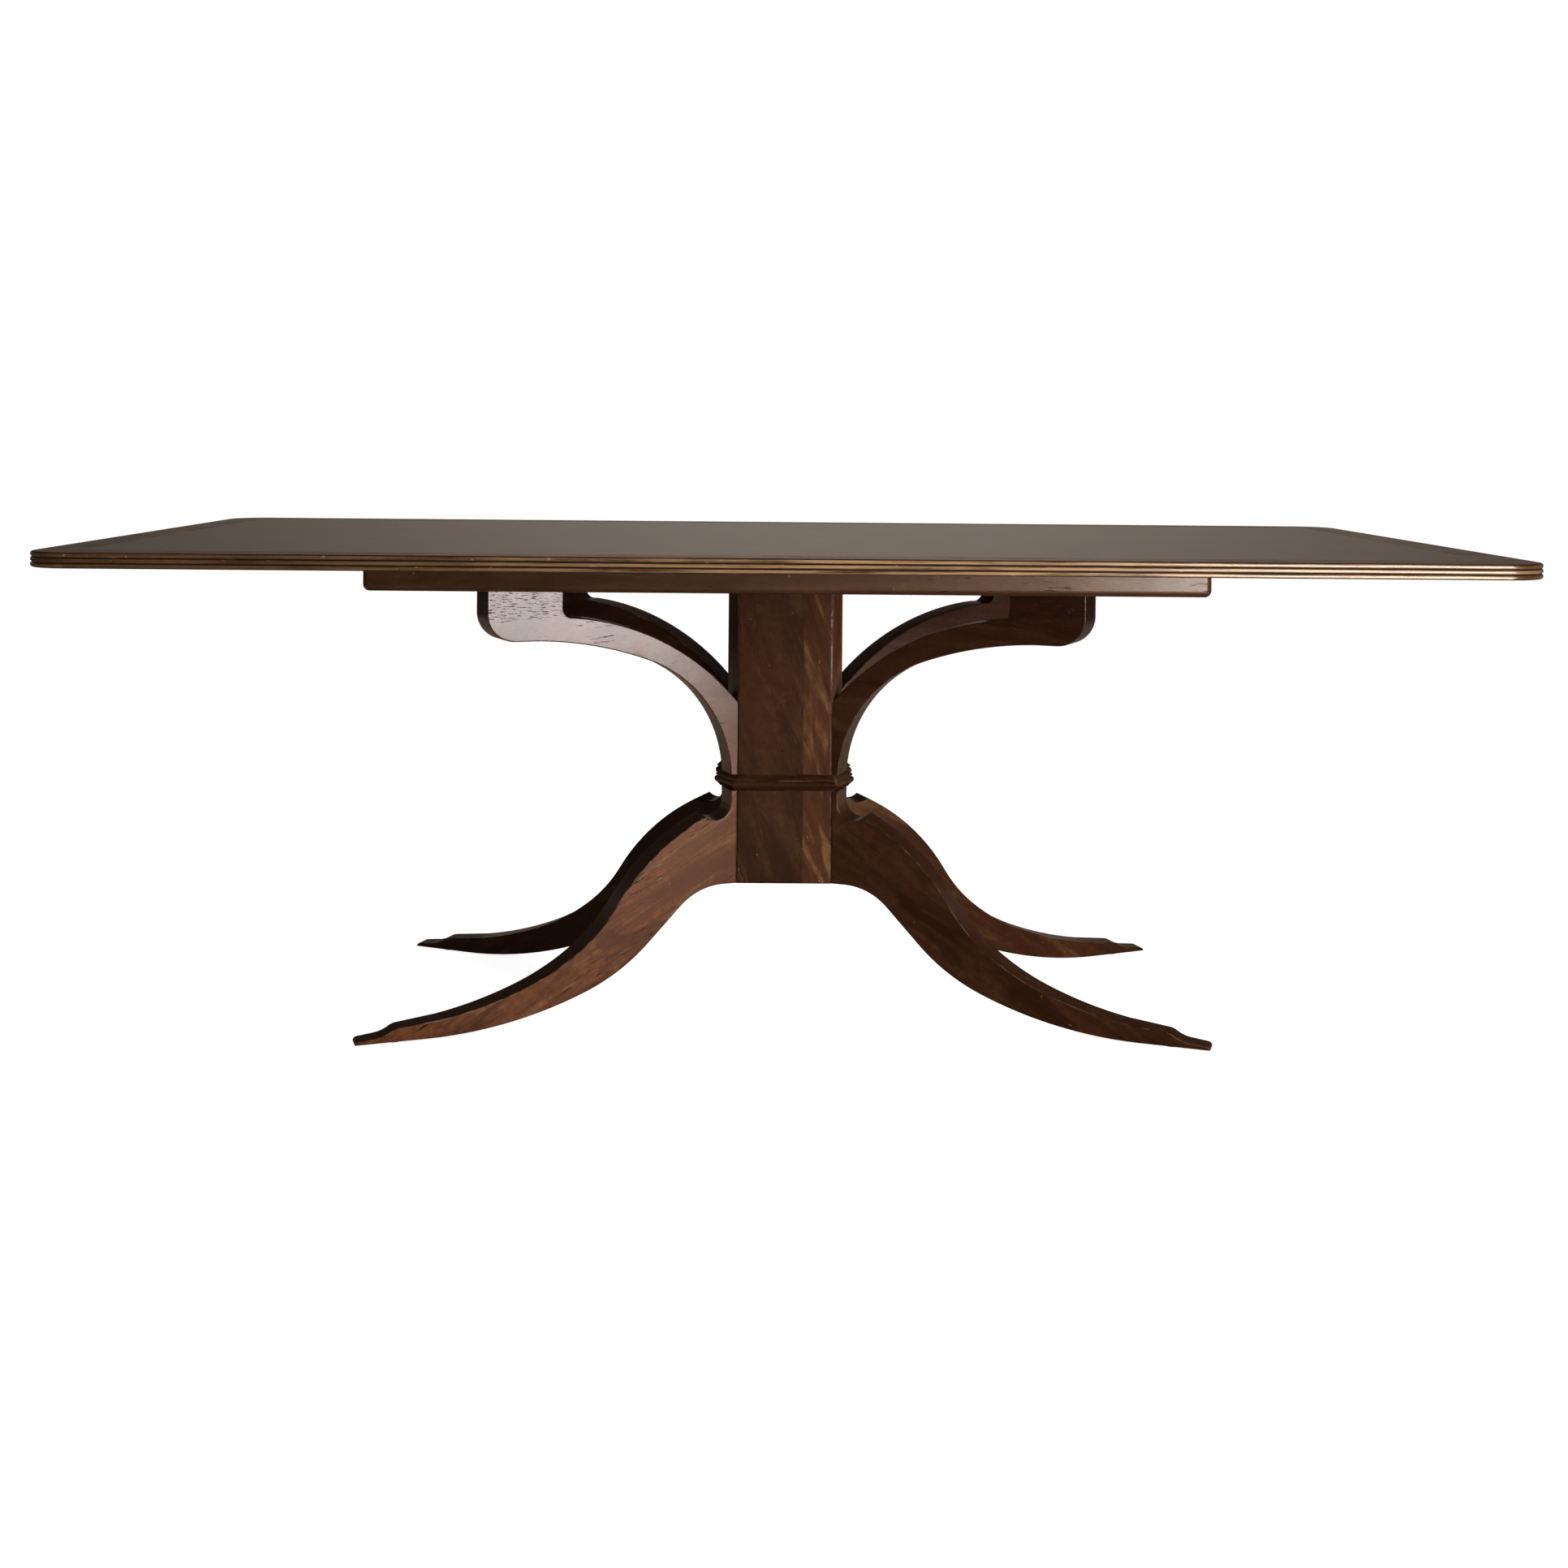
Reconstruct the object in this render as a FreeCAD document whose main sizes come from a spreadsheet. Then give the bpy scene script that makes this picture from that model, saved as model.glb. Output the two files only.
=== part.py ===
import FreeCAD, Part
import math
import os

import Sketcher

# Pedestal dining table with an octagonal column, four scrolled arms, four sabre legs
# and a reeded top. Lengths are in millimetres, angles in degrees. The origin is on the
# floor under the middle of the top: X runs along the top, -Y is the front, Z is up.

DRIVING_SIZES = (
    ("table_length", 2134, "top, end to end"),
    ("table_width", 1067, "top, front to rear"),
    ("table_height", 762, "floor to the upper face of the top"),
    ("top_thickness", 22, "top, upper face to lower face"),
    ("top_corner_radius", 64, "plan radius of the four corners of the top"),
    ("reed_depth", 2.8, "how far each reed stands out of the edge"),
    ("frame_length", 1264, "sub-frame, end to end"),
    ("frame_inset", 188.5, "edge of the top to the sub-frame, at the front and the rear"),
    ("rail_height", 44, "height of every sub-frame member"),
    ("rail_thickness", 28, "thickness of the four sub-frame rails"),
    ("rail_rounding", 10, "radius along the outer lower edges and ends of the rails"),
    ("bearer_width", 116, "width of a cross bearer"),
    ("tenon_shoulder", 8, "shoulder above and below a tenon"),
    ("tenon_cheek", 8, "cheek at each side of a tenon"),
    ("tenon_depth", 18, "how far a tenon goes into its rail"),
    ("joint_clearance", 0.2, "gap around a tenon and at its end"),
    ("column_face", 154, "width of the front and rear faces of the column"),
    ("column_depth", 176, "column, front face to rear face"),
    ("column_foot", 204, "height of the underside of the column"),
    ("stave_thickness", 30, "thickness of the column staves"),
    ("corner_easing", 2, "flat that eases the upright corners of the column"),
    ("front_joint", 30, "glue joint of the front face, right of the middle"),
    ("foot_plate_thickness", 18, "plate that closes the column at its foot"),
    ("head_block_thickness", 30, "block that closes the column at its head"),
    ("head_plate_length", 300, "plate on the column head, along X"),
    ("head_plate_width", 250, "plate on the column head, along Y"),
    ("head_plate_thickness", 22, "plate between the column head and the top"),
    ("splay_angle", 20, "angle of each arm and leg from the long axis"),
    ("board_thickness", 50, "thickness of the arms and legs"),
    ("edge_rounding", 1.8, "rounding along the outline of the arms and legs"),
    ("collar_foot", 355, "height of the underside of the collar"),
    ("collar_height", 26, "height of the collar moulding"),
    ("collar_projection", 8, "how far the straight collar strips stand out of the column"),
    ("collar_front_half", 85, "half width of the front strip of the collar"),
    ("collar_splay_angle", 28, "angle of the corner strips of the collar from the side strips"),
    ("collar_corner_reach", 39, "where a corner strip of the collar turns in, from the long axis"),
    ("collar_quirk", 3.4, "depth of the groove between the two collar beads"),
    ("collar_bead", 11.5, "height of the large bead of the collar"),
    ("collar_small_bead", 4.5, "height of the small bead of the collar"),
    ("neck_projection", 10, "how far arms and legs stand out of the column at the collar"),
    ("leg_reach", 605, "column to the tip of a leg, along the leg"),
    ("leg_tip_thickness", 32, "thickness of a leg at its tip"),
    ("leg_taper_start", 250, "where the leg starts to get thinner"),
    ("cove_head", 334, "height where the hollow of a leg begins"),
    ("cove_radius", 25.7, "hollow where the leg meets its neck"),
    ("leg_crest", 315, "height of the crest beyond the hollow"),
    ("leg_crest_reach", 53, "column to the crest, along the leg"),
    ("leg_back_radius", 357, "radius of the rounded back below the crest"),
    ("foot_pad_thickness", 2, "felt pad under each foot"),
    ("foot_pad_diameter", 24, "felt pad under each foot"),
    ("arm_reach", 411, "column to the outer end of an arm, along the arm"),
    ("arm_drop", 133, "underside of the top to the underside of an arm at its end"),
    ("arm_end_depth", 35, "height of the arm itself at its end, under its block"),
    ("arm_upper_lead", 8, "level lead from the block to the upper edge of an arm"),
    ("arm_end_radius", 45, "rounding under the outer end of an arm, up into its block"),
    ("arm_end_cant", 8.4, "slant of the outer end of an arm, seen from above"),
    ("block_length", 120, "length of the block on the end of an arm"),
    ("block_fillet", 16, "hollow at the inner foot of the block"),
    ("leg_bolt_low", 238, "height of the lower bolt of a leg"),
    ("leg_bolt_high", 296, "height of the upper bolt of a leg"),
    ("bolt_diameter", 8, "shank of a leg bolt"),
    ("bolt_head_height", 5.5, "hexagon head of a leg bolt"),
    ("bolt_head_radius", 7.5, "middle to corner of the hexagon head"),
    ("bolt_grip", 48, "how far a bolt goes into its leg"),
    ("bolt_clearance", 0.3, "gap around a bolt in the stave and in the leg"),
    ("washer_diameter", 16, "washer under a bolt head"),
    ("washer_thickness", 2, "washer under a bolt head"),
    ("dowel_diameter", 10, "dowels between the arms and the column"),
    ("dowel_depth", 16, "how far a dowel goes into each side"),
    ("screw_diameter", 5, "shank of a wood screw"),
    ("screw_head_diameter", 10, "head of a wood screw"),
    ("screw_head_height", 3, "cone of the head of a wood screw"),
    ("screw_bite", 14, "how far a screw goes into the top"),
    ("screw_passage", 20, "wood left under a counterbored screw head"),
    ("counterbore_diameter", 12, "hole that takes the head of a screw"),
    ("bearer_screw_length", 118, "screw from a bearer into an arm and its block"),
    ("bearer_screw_diameter", 6, "shank of a bearer screw"),
)

# Points of a leg's edges as shares of its reach and of the height of the column foot:
# where the rounded back ends, then out to the nose of the toe, then back from the heel.
LEG_BACK_SHARE = (0.331, 0.892)
LEG_UPPER_SHARES = (
    ("flow", 0.423, 0.583),
    ("flow", 0.577, 0.316),
    ("flow", 0.793, 0.142),
    ("line", 0.893, 0.11),
    ("flow", 0.911, 0.0905),
    ("flow", 0.945, 0.0515),
    ("line", 0.991, 0.037),
)
LEG_HEEL_SHARE = 0.826
LEG_LOWER_SHARES = (
    ("flow", 0.656, 0.049),
    ("flow", 0.402, 0.265),
    ("flow", 0.248, 0.573),
    ("line", 0.155, 0.853),
    ("flow", 0.041, 1.0),
)
FOOT_PAD_SHARE = 0.9
# Points of an arm's lower edge as shares of its reach and of its rise from the collar.
ARM_LOWER_SHARE = (0.365, 0.842)
ARM_LEVEL_SHARE = 0.803
# Shares of an arm's rise from the collar: where its upper edge leaves the column, and
# the radii of its two edges. The dowels sit at shares of the height of its root.
ARM_ROOT_SHARE = 0.522
ARM_UPPER_SHARE = 1.77
ARM_RADIUS_SHARE = 0.956
ARM_DOWEL_SHARES = (0.55, 0.82)
# Where the screws of a block sit, as shares of the reach of an arm.
BLOCK_SCREW_SHARES = (0.8, 0.92)
LEG_BOLT_HEIGHTS = ("leg_bolt_low", "leg_bolt_high")

REEDS = 3
TOUCH = 1e-3
CORNERS = {
    "front_right": (1, -1),
    "rear_right": (1, 1),
    "rear_left": (-1, 1),
    "front_left": (-1, -1),
}


class Size:
    """A size that knows its value and its formula on the sheet."""

    def __init__(self, value, formula):
        self.value = value
        self.formula = formula

    def __add__(self, other):
        other = as_size(other)
        return Size(self.value + other.value, f"({self.formula} + {other.formula})")

    def __sub__(self, other):
        other = as_size(other)
        return Size(self.value - other.value, f"({self.formula} - {other.formula})")

    def __mul__(self, other):
        other = as_size(other)
        return Size(self.value * other.value, f"({self.formula} * {other.formula})")

    def __truediv__(self, other):
        other = as_size(other)
        return Size(self.value / other.value, f"({self.formula} / {other.formula})")

    def __neg__(self):
        return Size(-self.value, f"(0 - {self.formula})")

    def root(self):
        return Size(math.sqrt(self.value), f"sqrt({self.formula})")


def as_size(value):
    """Return value as a Size, so that plain shares and counts can be used too."""
    return value if isinstance(value, Size) else Size(value, str(value))


def sine(angle):
    return Size(math.sin(math.radians(angle.value)), f"sin({angle.formula})")


def cosine(angle):
    return Size(math.cos(math.radians(angle.value)), f"cos({angle.formula})")


def slope(angle):
    return sine(angle) / cosine(angle)


doc = FreeCAD.newDocument("PedestalTable")
sheet = doc.addObject("Spreadsheet::Sheet", "Sizes")
size = {}
for row, (alias, value, note) in enumerate(DRIVING_SIZES, start=1):
    sheet.set(f"A{row}", note)
    sheet.set(f"B{row}", str(value))
    sheet.setAlias(f"B{row}", alias)
    size[alias] = Size(float(value), f"Sizes.{alias}")
doc.recompute()

ZERO = as_size(0)
nodes = []

# Places that several pieces share.
splay = size["splay_angle"]
board = size["board_thickness"]
half_board = board / 2
face_half = size["column_face"] / 2
depth_half = size["column_depth"] / 2
side_half = face_half + board * sine(splay)
side_reach = depth_half - board * cosine(splay)
stave = size["stave_thickness"]
mitre_front = stave * (as_size(1) - sine(splay)) / cosine(splay)
mitre_side = stave * (as_size(1) - cosine(splay)) / sine(splay)
inner_face_half = face_half - mitre_front
inner_depth_half = depth_half - stave
inner_side_half = side_half - stave
inner_side_reach = side_reach - mitre_side
easing = size["corner_easing"]
front_ease_x = face_half - (easing - easing * sine(splay)) / 2
front_ease_y = depth_half - easing * cosine(splay) / 2
side_ease_x = side_half - easing * sine(splay) / 2
side_ease_y = side_reach - (easing - easing * cosine(splay)) / 2
corner_x = face_half + half_board * sine(splay)
corner_y = depth_half - half_board * cosine(splay)
top_underside = size["table_height"] - size["top_thickness"]
frame_underside = top_underside - size["rail_height"]
frame_width = size["table_width"] - size["frame_inset"] * 2
column_head = top_underside - size["head_plate_thickness"]
collar_head = size["collar_foot"] + size["collar_height"]
block_start = size["arm_reach"] - size["block_length"]
bearer_place = corner_x + (block_start + size["block_length"] / 2) * cosine(splay)
arm_level = top_underside - size["arm_drop"]
arm_rise = arm_level - collar_head
arm_root = collar_head + arm_rise * ARM_ROOT_SHARE
dowel_heights = [collar_head + (arm_root - collar_head) * share for share in ARM_DOWEL_SHARES]
glue_line = arm_level + size["arm_end_depth"]
bolt_offset = (mitre_front - mitre_side) / 2
end_shift = half_board * slope(size["arm_end_cant"])
end_radius = size["arm_end_radius"]
end_rise = end_radius - size["arm_end_depth"]
end_inset = end_radius - (end_radius * end_radius - end_rise * end_rise).root()


def origin_plane(body, role):
    return [item for item in body.Origin.OriginFeatures if item.Role == role][0]


def new_body(label):
    """Start a sub-part and list it as a node."""
    body = doc.addObject("PartDesign::Body", label)
    body.Label = label
    nodes.append(body)
    return body


def new_sketch(body, role, lift=ZERO, turn=ZERO):
    """Put an empty sketch on one of the body's own planes, raised by lift.

    A turn swings a sketch on XZ_Plane about the body's upright axis."""
    sketch = body.newObject("Sketcher::SketchObject", f"{body.Label}_sketch")
    sketch.AttachmentSupport = (origin_plane(body, role), "")
    sketch.MapMode = "FlatFace"
    offset = FreeCAD.Vector(0, 0, lift.value)
    swing = FreeCAD.Rotation(FreeCAD.Vector(0, 1, 0), turn.value)
    sketch.AttachmentOffset = FreeCAD.Placement(offset, swing)
    sketch.setExpression("AttachmentOffset.Base.z", lift.formula)
    if turn is not ZERO:
        sketch.setExpression("AttachmentOffset.Rotation.Angle", turn.formula)
    sketch.Visibility = False
    return sketch


def fix_point(sketch, geometry, position, x, y):
    """Hold a point of the sketch at sizes x and y from its origin."""
    for kind, length in (("DistanceX", x), ("DistanceY", y)):
        rule = Sketcher.Constraint(kind, -1, 1, geometry, position, length.value)
        index = sketch.addConstraint(rule)
        sketch.setExpression(f"Constraints[{index}]", length.formula)


def circle(sketch, x, y, radius):
    shape = Part.Circle(FreeCAD.Vector(x.value, y.value, 0), FreeCAD.Vector(0, 0, 1), radius.value)
    index = sketch.addGeometry(shape)
    fix_point(sketch, index, 3, x, y)
    rule = sketch.addConstraint(Sketcher.Constraint("Radius", index, radius.value))
    sketch.setExpression(f"Constraints[{rule}]", radius.formula)


def signed_radius(start, end, direction):
    """Radius of the arc that leaves start in the given direction and reaches end."""
    normal = FreeCAD.Vector(-direction.y, direction.x, 0)
    chord = end - start
    return chord.Length ** 2 / (2 * normal.dot(chord))


def arc_between(start, end, radius):
    """Return the arc, its middle, and whether it runs from start to end.

    A positive radius turns left on the way from start to end."""
    chord = end - start
    normal = FreeCAD.Vector(-chord.y, chord.x, 0).normalize()
    rise = math.sqrt(max(radius ** 2 - (chord.Length / 2) ** 2, 0.0))
    middle = (start + end) * 0.5 + normal * math.copysign(rise, radius)
    ring = Part.Circle(middle, FreeCAD.Vector(0, 0, 1), abs(radius))
    forward = radius > 0
    first, last = (start, end) if forward else (end, start)
    angles = [math.atan2(p.y - middle.y, p.x - middle.x) for p in (first, last)]
    if angles[1] < angles[0]:
        angles[1] += 2 * math.pi
    return Part.ArcOfCircle(ring, angles[0], angles[1]), middle, forward


def outline(sketch, start, steps):
    """Draw a closed outline from start through steps and back to start.

    A step is ("line", x, y), ("flow", x, y) for an arc that carries on in the last
    direction, or ("left" or "right", x, y, radius) for an arc that turns that way."""
    begin = FreeCAD.Vector(start[0].value, start[1].value, 0)
    here = begin
    direction = None
    first = last = None
    for number, step in enumerate(steps):
        kind = step[0]
        closing = number == len(steps) - 1
        target = begin if closing else FreeCAD.Vector(step[1].value, step[2].value, 0)
        if kind == "line":
            index = sketch.addGeometry(Part.LineSegment(here, target))
            ends = (1, 2)
            direction = (target - here).normalize()
        else:
            if kind == "flow":
                radius = signed_radius(here, target, direction)
            else:
                radius = step[3].value if kind == "left" else -step[3].value
            arc, middle, forward = arc_between(here, target, radius)
            index = sketch.addGeometry(arc)
            ends = (1, 2) if forward else (2, 1)
            spoke = (target - middle).normalize()
            direction = FreeCAD.Vector(-spoke.y, spoke.x, 0)
            if not forward:
                direction = direction * -1
            if kind != "flow":
                rule = sketch.addConstraint(Sketcher.Constraint("Radius", index, abs(radius)))
                sketch.setExpression(f"Constraints[{rule}]", step[3].formula)
        if first is None:
            first = (index, ends[0])
            fix_point(sketch, index, ends[0], start[0], start[1])
        elif kind == "flow":
            sketch.addConstraint(Sketcher.Constraint("Tangent", last[0], last[1], index, ends[0]))
        else:
            sketch.addConstraint(Sketcher.Constraint("Coincident", last[0], last[1], index, ends[0]))
        if closing:
            sketch.addConstraint(Sketcher.Constraint("Coincident", index, ends[1], first[0], first[1]))
        else:
            fix_point(sketch, index, ends[1], step[1], step[2])
        last = (index, ends[1])
        here = target


def polygon(sketch, points):
    """Draw a closed outline of straight lines through points."""
    steps = [("line", x, y) for x, y in points[1:]]
    outline(sketch, points[0], steps + [("line",) + tuple(points[0])])


def rectangle(sketch, left, right, low, high):
    polygon(sketch, [(left, low), (right, low), (right, high), (left, high)])


def pad(body, sketch, length, symmetric=False, back=False, slant=None):
    """Raise the sketch by length; a slant is the direction to follow instead of its normal."""
    feature = body.newObject("PartDesign::Pad", f"{body.Label}_pad")
    feature.Profile = sketch
    feature.SideType = "Symmetric" if symmetric else "One side"
    feature.Reversed = back
    if slant:
        feature.UseCustomVector = True
        feature.AlongSketchNormal = True
        feature.Direction = FreeCAD.Vector(slant[0].value, slant[1].value, 0)
        feature.setExpression("Direction.x", slant[0].formula)
    feature.setExpression("Length", length.formula)
    doc.recompute()
    return feature


def pocket(body, sketch, depth=None, along_normal=False, symmetric=False):
    """Cut the sketch out of the body, to a depth or right through, and prove that it cut."""
    before = body.Shape.Volume
    feature = body.newObject("PartDesign::Pocket", f"{body.Label}_pocket")
    feature.Profile = sketch
    feature.SideType = "Symmetric" if symmetric else "One side"
    feature.Reversed = along_normal
    if depth is None:
        feature.Type = "ThroughAll"
    else:
        feature.Type = "Length"
        feature.setExpression("Length", depth.formula)
    doc.recompute()
    if body.Shape.Volume >= before:
        raise ValueError(f"{body.Label}: a pocket removed nothing")
    return feature


def fillet(body, radius, chosen):
    """Round every edge of the body for which chosen(edge) is true."""
    rough = body.Tip
    names = [f"Edge{n}" for n, edge in enumerate(rough.Shape.Edges, start=1) if chosen(edge)]
    feature = body.newObject("PartDesign::Fillet", f"{body.Label}_fillet")
    feature.Base = (rough, names)
    feature.setExpression("Radius", radius.formula)
    doc.recompute()
    return feature


def round_outline(body, half_at, seats):
    """Round the edges where the cheeks of a board meet its outline.

    half_at gives half the thickness at a place along the board. Edges that lie on a
    seat, given as an axis and a place, stay sharp."""

    def on_outline(edge):
        points = edge.discretize(3)
        if points[0].y * points[-1].y < 0:
            return False
        for axis, level in seats:
            if all(abs(getattr(p, axis) - level.value) < TOUCH for p in points):
                return False
        return all(abs(abs(p.y) - half_at(p.x)) < TOUCH for p in points)

    fillet(body, size["edge_rounding"], on_outline)


def place(item, x, y, z, turn=ZERO):
    """Put a sub-part at x, y, z, turned about the upright axis."""
    base = FreeCAD.Vector(x.value, y.value, z.value)
    upright = FreeCAD.Vector(0, 0, 1)
    item.Placement = FreeCAD.Placement(base, FreeCAD.Rotation(upright, turn.value))
    item.setExpression("Placement.Base.x", x.formula)
    item.setExpression("Placement.Base.y", y.formula)
    item.setExpression("Placement.Base.z", z.formula)
    item.setExpression("Placement.Rotation.Angle", turn.formula)


def corner_turn(name, angle):
    """Turn that points the own X axis of a corner piece outwards."""
    side, end = CORNERS[name]
    turned = angle if side * end > 0 else -angle
    return turned if side > 0 else turned + 180


def corner_hand(name):
    """1 where a corner piece keeps its own Y axis, -1 where it is the mirror image."""
    side, end = CORNERS[name]
    return -side * end


def place_at_corner(item, name, x, y, z, angle=splay):
    side, end = CORNERS[name]
    place(item, x * side, y * end, z, corner_turn(name, angle))


def reeded_edge(depth, outward):
    """Steps of the reeded edge, from its lowest to its highest point."""
    pitch = size["top_thickness"] / REEDS
    radius = (pitch * pitch / 4 + size["reed_depth"] * size["reed_depth"]) / (size["reed_depth"] * 2)
    turn = "left" if outward > 0 else "right"
    return [(turn, depth * outward, pitch * (n + 1), radius) for n in range(REEDS)]


def make_edge_strip(label, length, x, y, turn):
    """Straight length of the reeded band around the top; its own -Y is outwards."""
    band = size["top_corner_radius"]
    shoulder = band - size["reed_depth"]
    body = new_body(label)
    sketch = new_sketch(body, "YZ_Plane")
    steps = [("line", -shoulder, ZERO)] + reeded_edge(shoulder, -1)
    steps += [("line", ZERO, size["top_thickness"]), ("line", ZERO, ZERO)]
    outline(sketch, (ZERO, ZERO), steps)
    pad(body, sketch, length - band * 2, symmetric=True)
    place(body, x, y, top_underside, turn)


def make_edge_corner(name):
    """Quarter round of the reeded band, turned about the centre of the plan corner."""
    band = size["top_corner_radius"]
    shoulder = band - size["reed_depth"]
    body = new_body(f"{name}_edge_corner")
    sketch = new_sketch(body, "XZ_Plane")
    steps = [("line", shoulder, ZERO)] + reeded_edge(shoulder, 1)
    steps += [("line", ZERO, size["top_thickness"]), ("line", ZERO, ZERO)]
    outline(sketch, (ZERO, ZERO), steps)
    turned = body.newObject("PartDesign::Revolution", f"{body.Label}_turned")
    turned.Profile = sketch
    turned.ReferenceAxis = (sketch, ["V_Axis"])
    turned.Angle = 90
    turned.Midplane = True
    doc.recompute()
    x = size["table_length"] / 2 - band
    y = size["table_width"] / 2 - band
    place_at_corner(body, name, x, y, top_underside, as_size(45))


def make_top():
    """Veneered panel with a reeded band of solid wood around it."""
    band = size["top_corner_radius"]
    half_x = size["table_length"] / 2 - band
    half_y = size["table_width"] / 2 - band
    body = new_body("top_panel")
    sketch = new_sketch(body, "XY_Plane")
    rectangle(sketch, -half_x, half_x, -half_y, half_y)
    pad(body, sketch, size["top_thickness"])
    holes = new_sketch(body, "XY_Plane")
    for x, y in top_screw_places():
        circle(holes, x, y, size["screw_diameter"] / 2)
    pocket(body, holes, size["screw_bite"], along_normal=True)
    place(body, ZERO, ZERO, top_underside)
    make_edge_strip("front_edge_strip", size["table_length"], ZERO, -half_y, ZERO)
    make_edge_strip("right_edge_strip", size["table_width"], half_x, ZERO, as_size(90))
    make_edge_strip("rear_edge_strip", size["table_length"], ZERO, half_y, as_size(180))
    make_edge_strip("left_edge_strip", size["table_width"], -half_x, ZERO, as_size(270))
    for name in CORNERS:
        make_edge_corner(name)


def rail_screw_reaches():
    """Where the screws of a long rail sit along X, clear of the bearers and end rails."""
    half = size["frame_length"] / 2 - size["rail_thickness"]
    inner = (bearer_place - size["bearer_width"] / 2) / 2
    outer = (bearer_place + size["bearer_width"] / 2 + half) / 2
    return [reach * side for reach in (inner, outer) for side in (-1, 1)]


def rail_screw_places():
    """Places of the screws that hold the top to the two long rails."""
    y = frame_width / 2 - size["rail_thickness"] / 2
    return [(x, y * end) for end in (-1, 1) for x in rail_screw_reaches()]


def plate_screw_places():
    """Places of the screws that hold the top to the column's head plate."""
    inset = size["counterbore_diameter"]
    x = size["head_plate_length"] / 2 - inset
    y = size["head_plate_width"] / 2 - inset
    return [(x * side, y * end) for side, end in CORNERS.values()]


def column_screw_places():
    """Places of the screws that hold the head plate to the head block."""
    x = inner_side_half / 2
    y = inner_side_reach
    return [(x * side, y * end) for side, end in CORNERS.values()]


def top_screw_places():
    return rail_screw_places() + plate_screw_places()


def make_long_rail(label, end):
    """Front or rear rail; its own Y zero is the inner face and -Y the outside."""
    body = new_body(label)
    half = size["frame_length"] / 2
    thick = size["rail_thickness"]
    high = size["rail_height"]
    sketch = new_sketch(body, "XY_Plane")
    rectangle(sketch, -half, half, -thick, ZERO)
    pad(body, sketch, high)
    reach = half.value
    outer = -thick.value

    def rounded(edge):
        box = edge.BoundBox
        low = box.ZMax < TOUCH
        outside = box.YMax < outer + TOUCH
        at_end = abs(box.Center.x) > reach - TOUCH
        return (low and outside) or (low and at_end) or (outside and at_end)

    fillet(body, size["rail_rounding"], rounded)
    mortises = new_sketch(body, "XZ_Plane")
    gap = size["joint_clearance"]
    low = size["tenon_shoulder"] - gap
    top = high - size["tenon_shoulder"] + gap
    for place_x, width in ((half - thick / 2, thick), (bearer_place, size["bearer_width"])):
        reach_x = width / 2 - size["tenon_cheek"] + gap
        for side in (-1, 1):
            rectangle(mortises, place_x * side - reach_x, place_x * side + reach_x, low, top)
    pocket(body, mortises, size["tenon_depth"] + gap, along_normal=True)
    bores = new_sketch(body, "XY_Plane")
    counterbores = new_sketch(body, "XY_Plane")
    for x in rail_screw_reaches():
        circle(bores, x, -thick / 2, size["screw_diameter"] / 2)
        circle(counterbores, x, -thick / 2, size["counterbore_diameter"] / 2)
    pocket(body, bores, None, along_normal=True)
    pocket(body, counterbores, high - size["screw_passage"], along_normal=True)
    place(body, ZERO, (frame_width / 2 - thick) * end, frame_underside, as_size(90 + 90 * end))
    return body


def make_cross_member(label, x, width, outside=0):
    """Rail or bearer from front rail to rear rail, with a stub tenon at each end."""
    body = new_body(label)
    high = size["rail_height"]
    half = frame_width / 2 - size["rail_thickness"]
    sketch = new_sketch(body, "XY_Plane")
    rectangle(sketch, -width / 2, width / 2, -half, half)
    pad(body, sketch, high)
    if outside:
        edge_x = outside * width.value / 2

        def lower_outer(edge):
            box = edge.BoundBox
            return box.ZMax < TOUCH and abs(box.XMin - edge_x) < TOUCH and box.XLength < TOUCH

        fillet(body, size["rail_rounding"], lower_outer)
    tenon = new_sketch(body, "XZ_Plane")
    reach_x = width / 2 - size["tenon_cheek"]
    rectangle(tenon, -reach_x, reach_x, size["tenon_shoulder"], high - size["tenon_shoulder"])
    pad(body, tenon, (half + size["tenon_depth"]) * 2, symmetric=True)
    place(body, x, ZERO, frame_underside)
    return body


def bearer_screw_places(name):
    """Places of the screws through a bearer into the arm at the named corner."""
    side, end = CORNERS[name]
    found = []
    for share in BLOCK_SCREW_SHARES:
        reach = size["arm_reach"] * share
        x = (corner_x + reach * cosine(splay)) * side
        y = (corner_y + reach * sine(splay)) * end
        found.append((x, y))
    return found


def make_sub_frame():
    """Rails and cross bearers that carry the top."""
    thick = size["rail_thickness"]
    make_long_rail("front_rail", -1)
    make_long_rail("rear_rail", 1)
    end_x = size["frame_length"] / 2 - thick / 2
    make_cross_member("right_end_rail", end_x, thick, outside=1)
    make_cross_member("left_end_rail", -end_x, thick, outside=-1)
    for label, side in (("right_bearer", 1), ("left_bearer", -1)):
        body = make_cross_member(label, bearer_place * side, size["bearer_width"])
        bores = new_sketch(body, "XY_Plane")
        seats = new_sketch(body, "XY_Plane", size["rail_height"])
        for name, (corner_side, end) in CORNERS.items():
            if corner_side != side:
                continue
            for x, y in bearer_screw_places(name):
                own_x = x - bearer_place * side
                circle(bores, own_x, y, size["bearer_screw_diameter"] / 2)
                circle(seats, own_x, y, size["counterbore_diameter"] / 2)
        pocket(body, bores, None, along_normal=True)
        pocket(body, seats, size["screw_head_height"])


def make_stave(label, points):
    body = new_body(label)
    sketch = new_sketch(body, "XY_Plane")
    polygon(sketch, points)
    pad(body, sketch, column_head - size["column_foot"])
    return body


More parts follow.
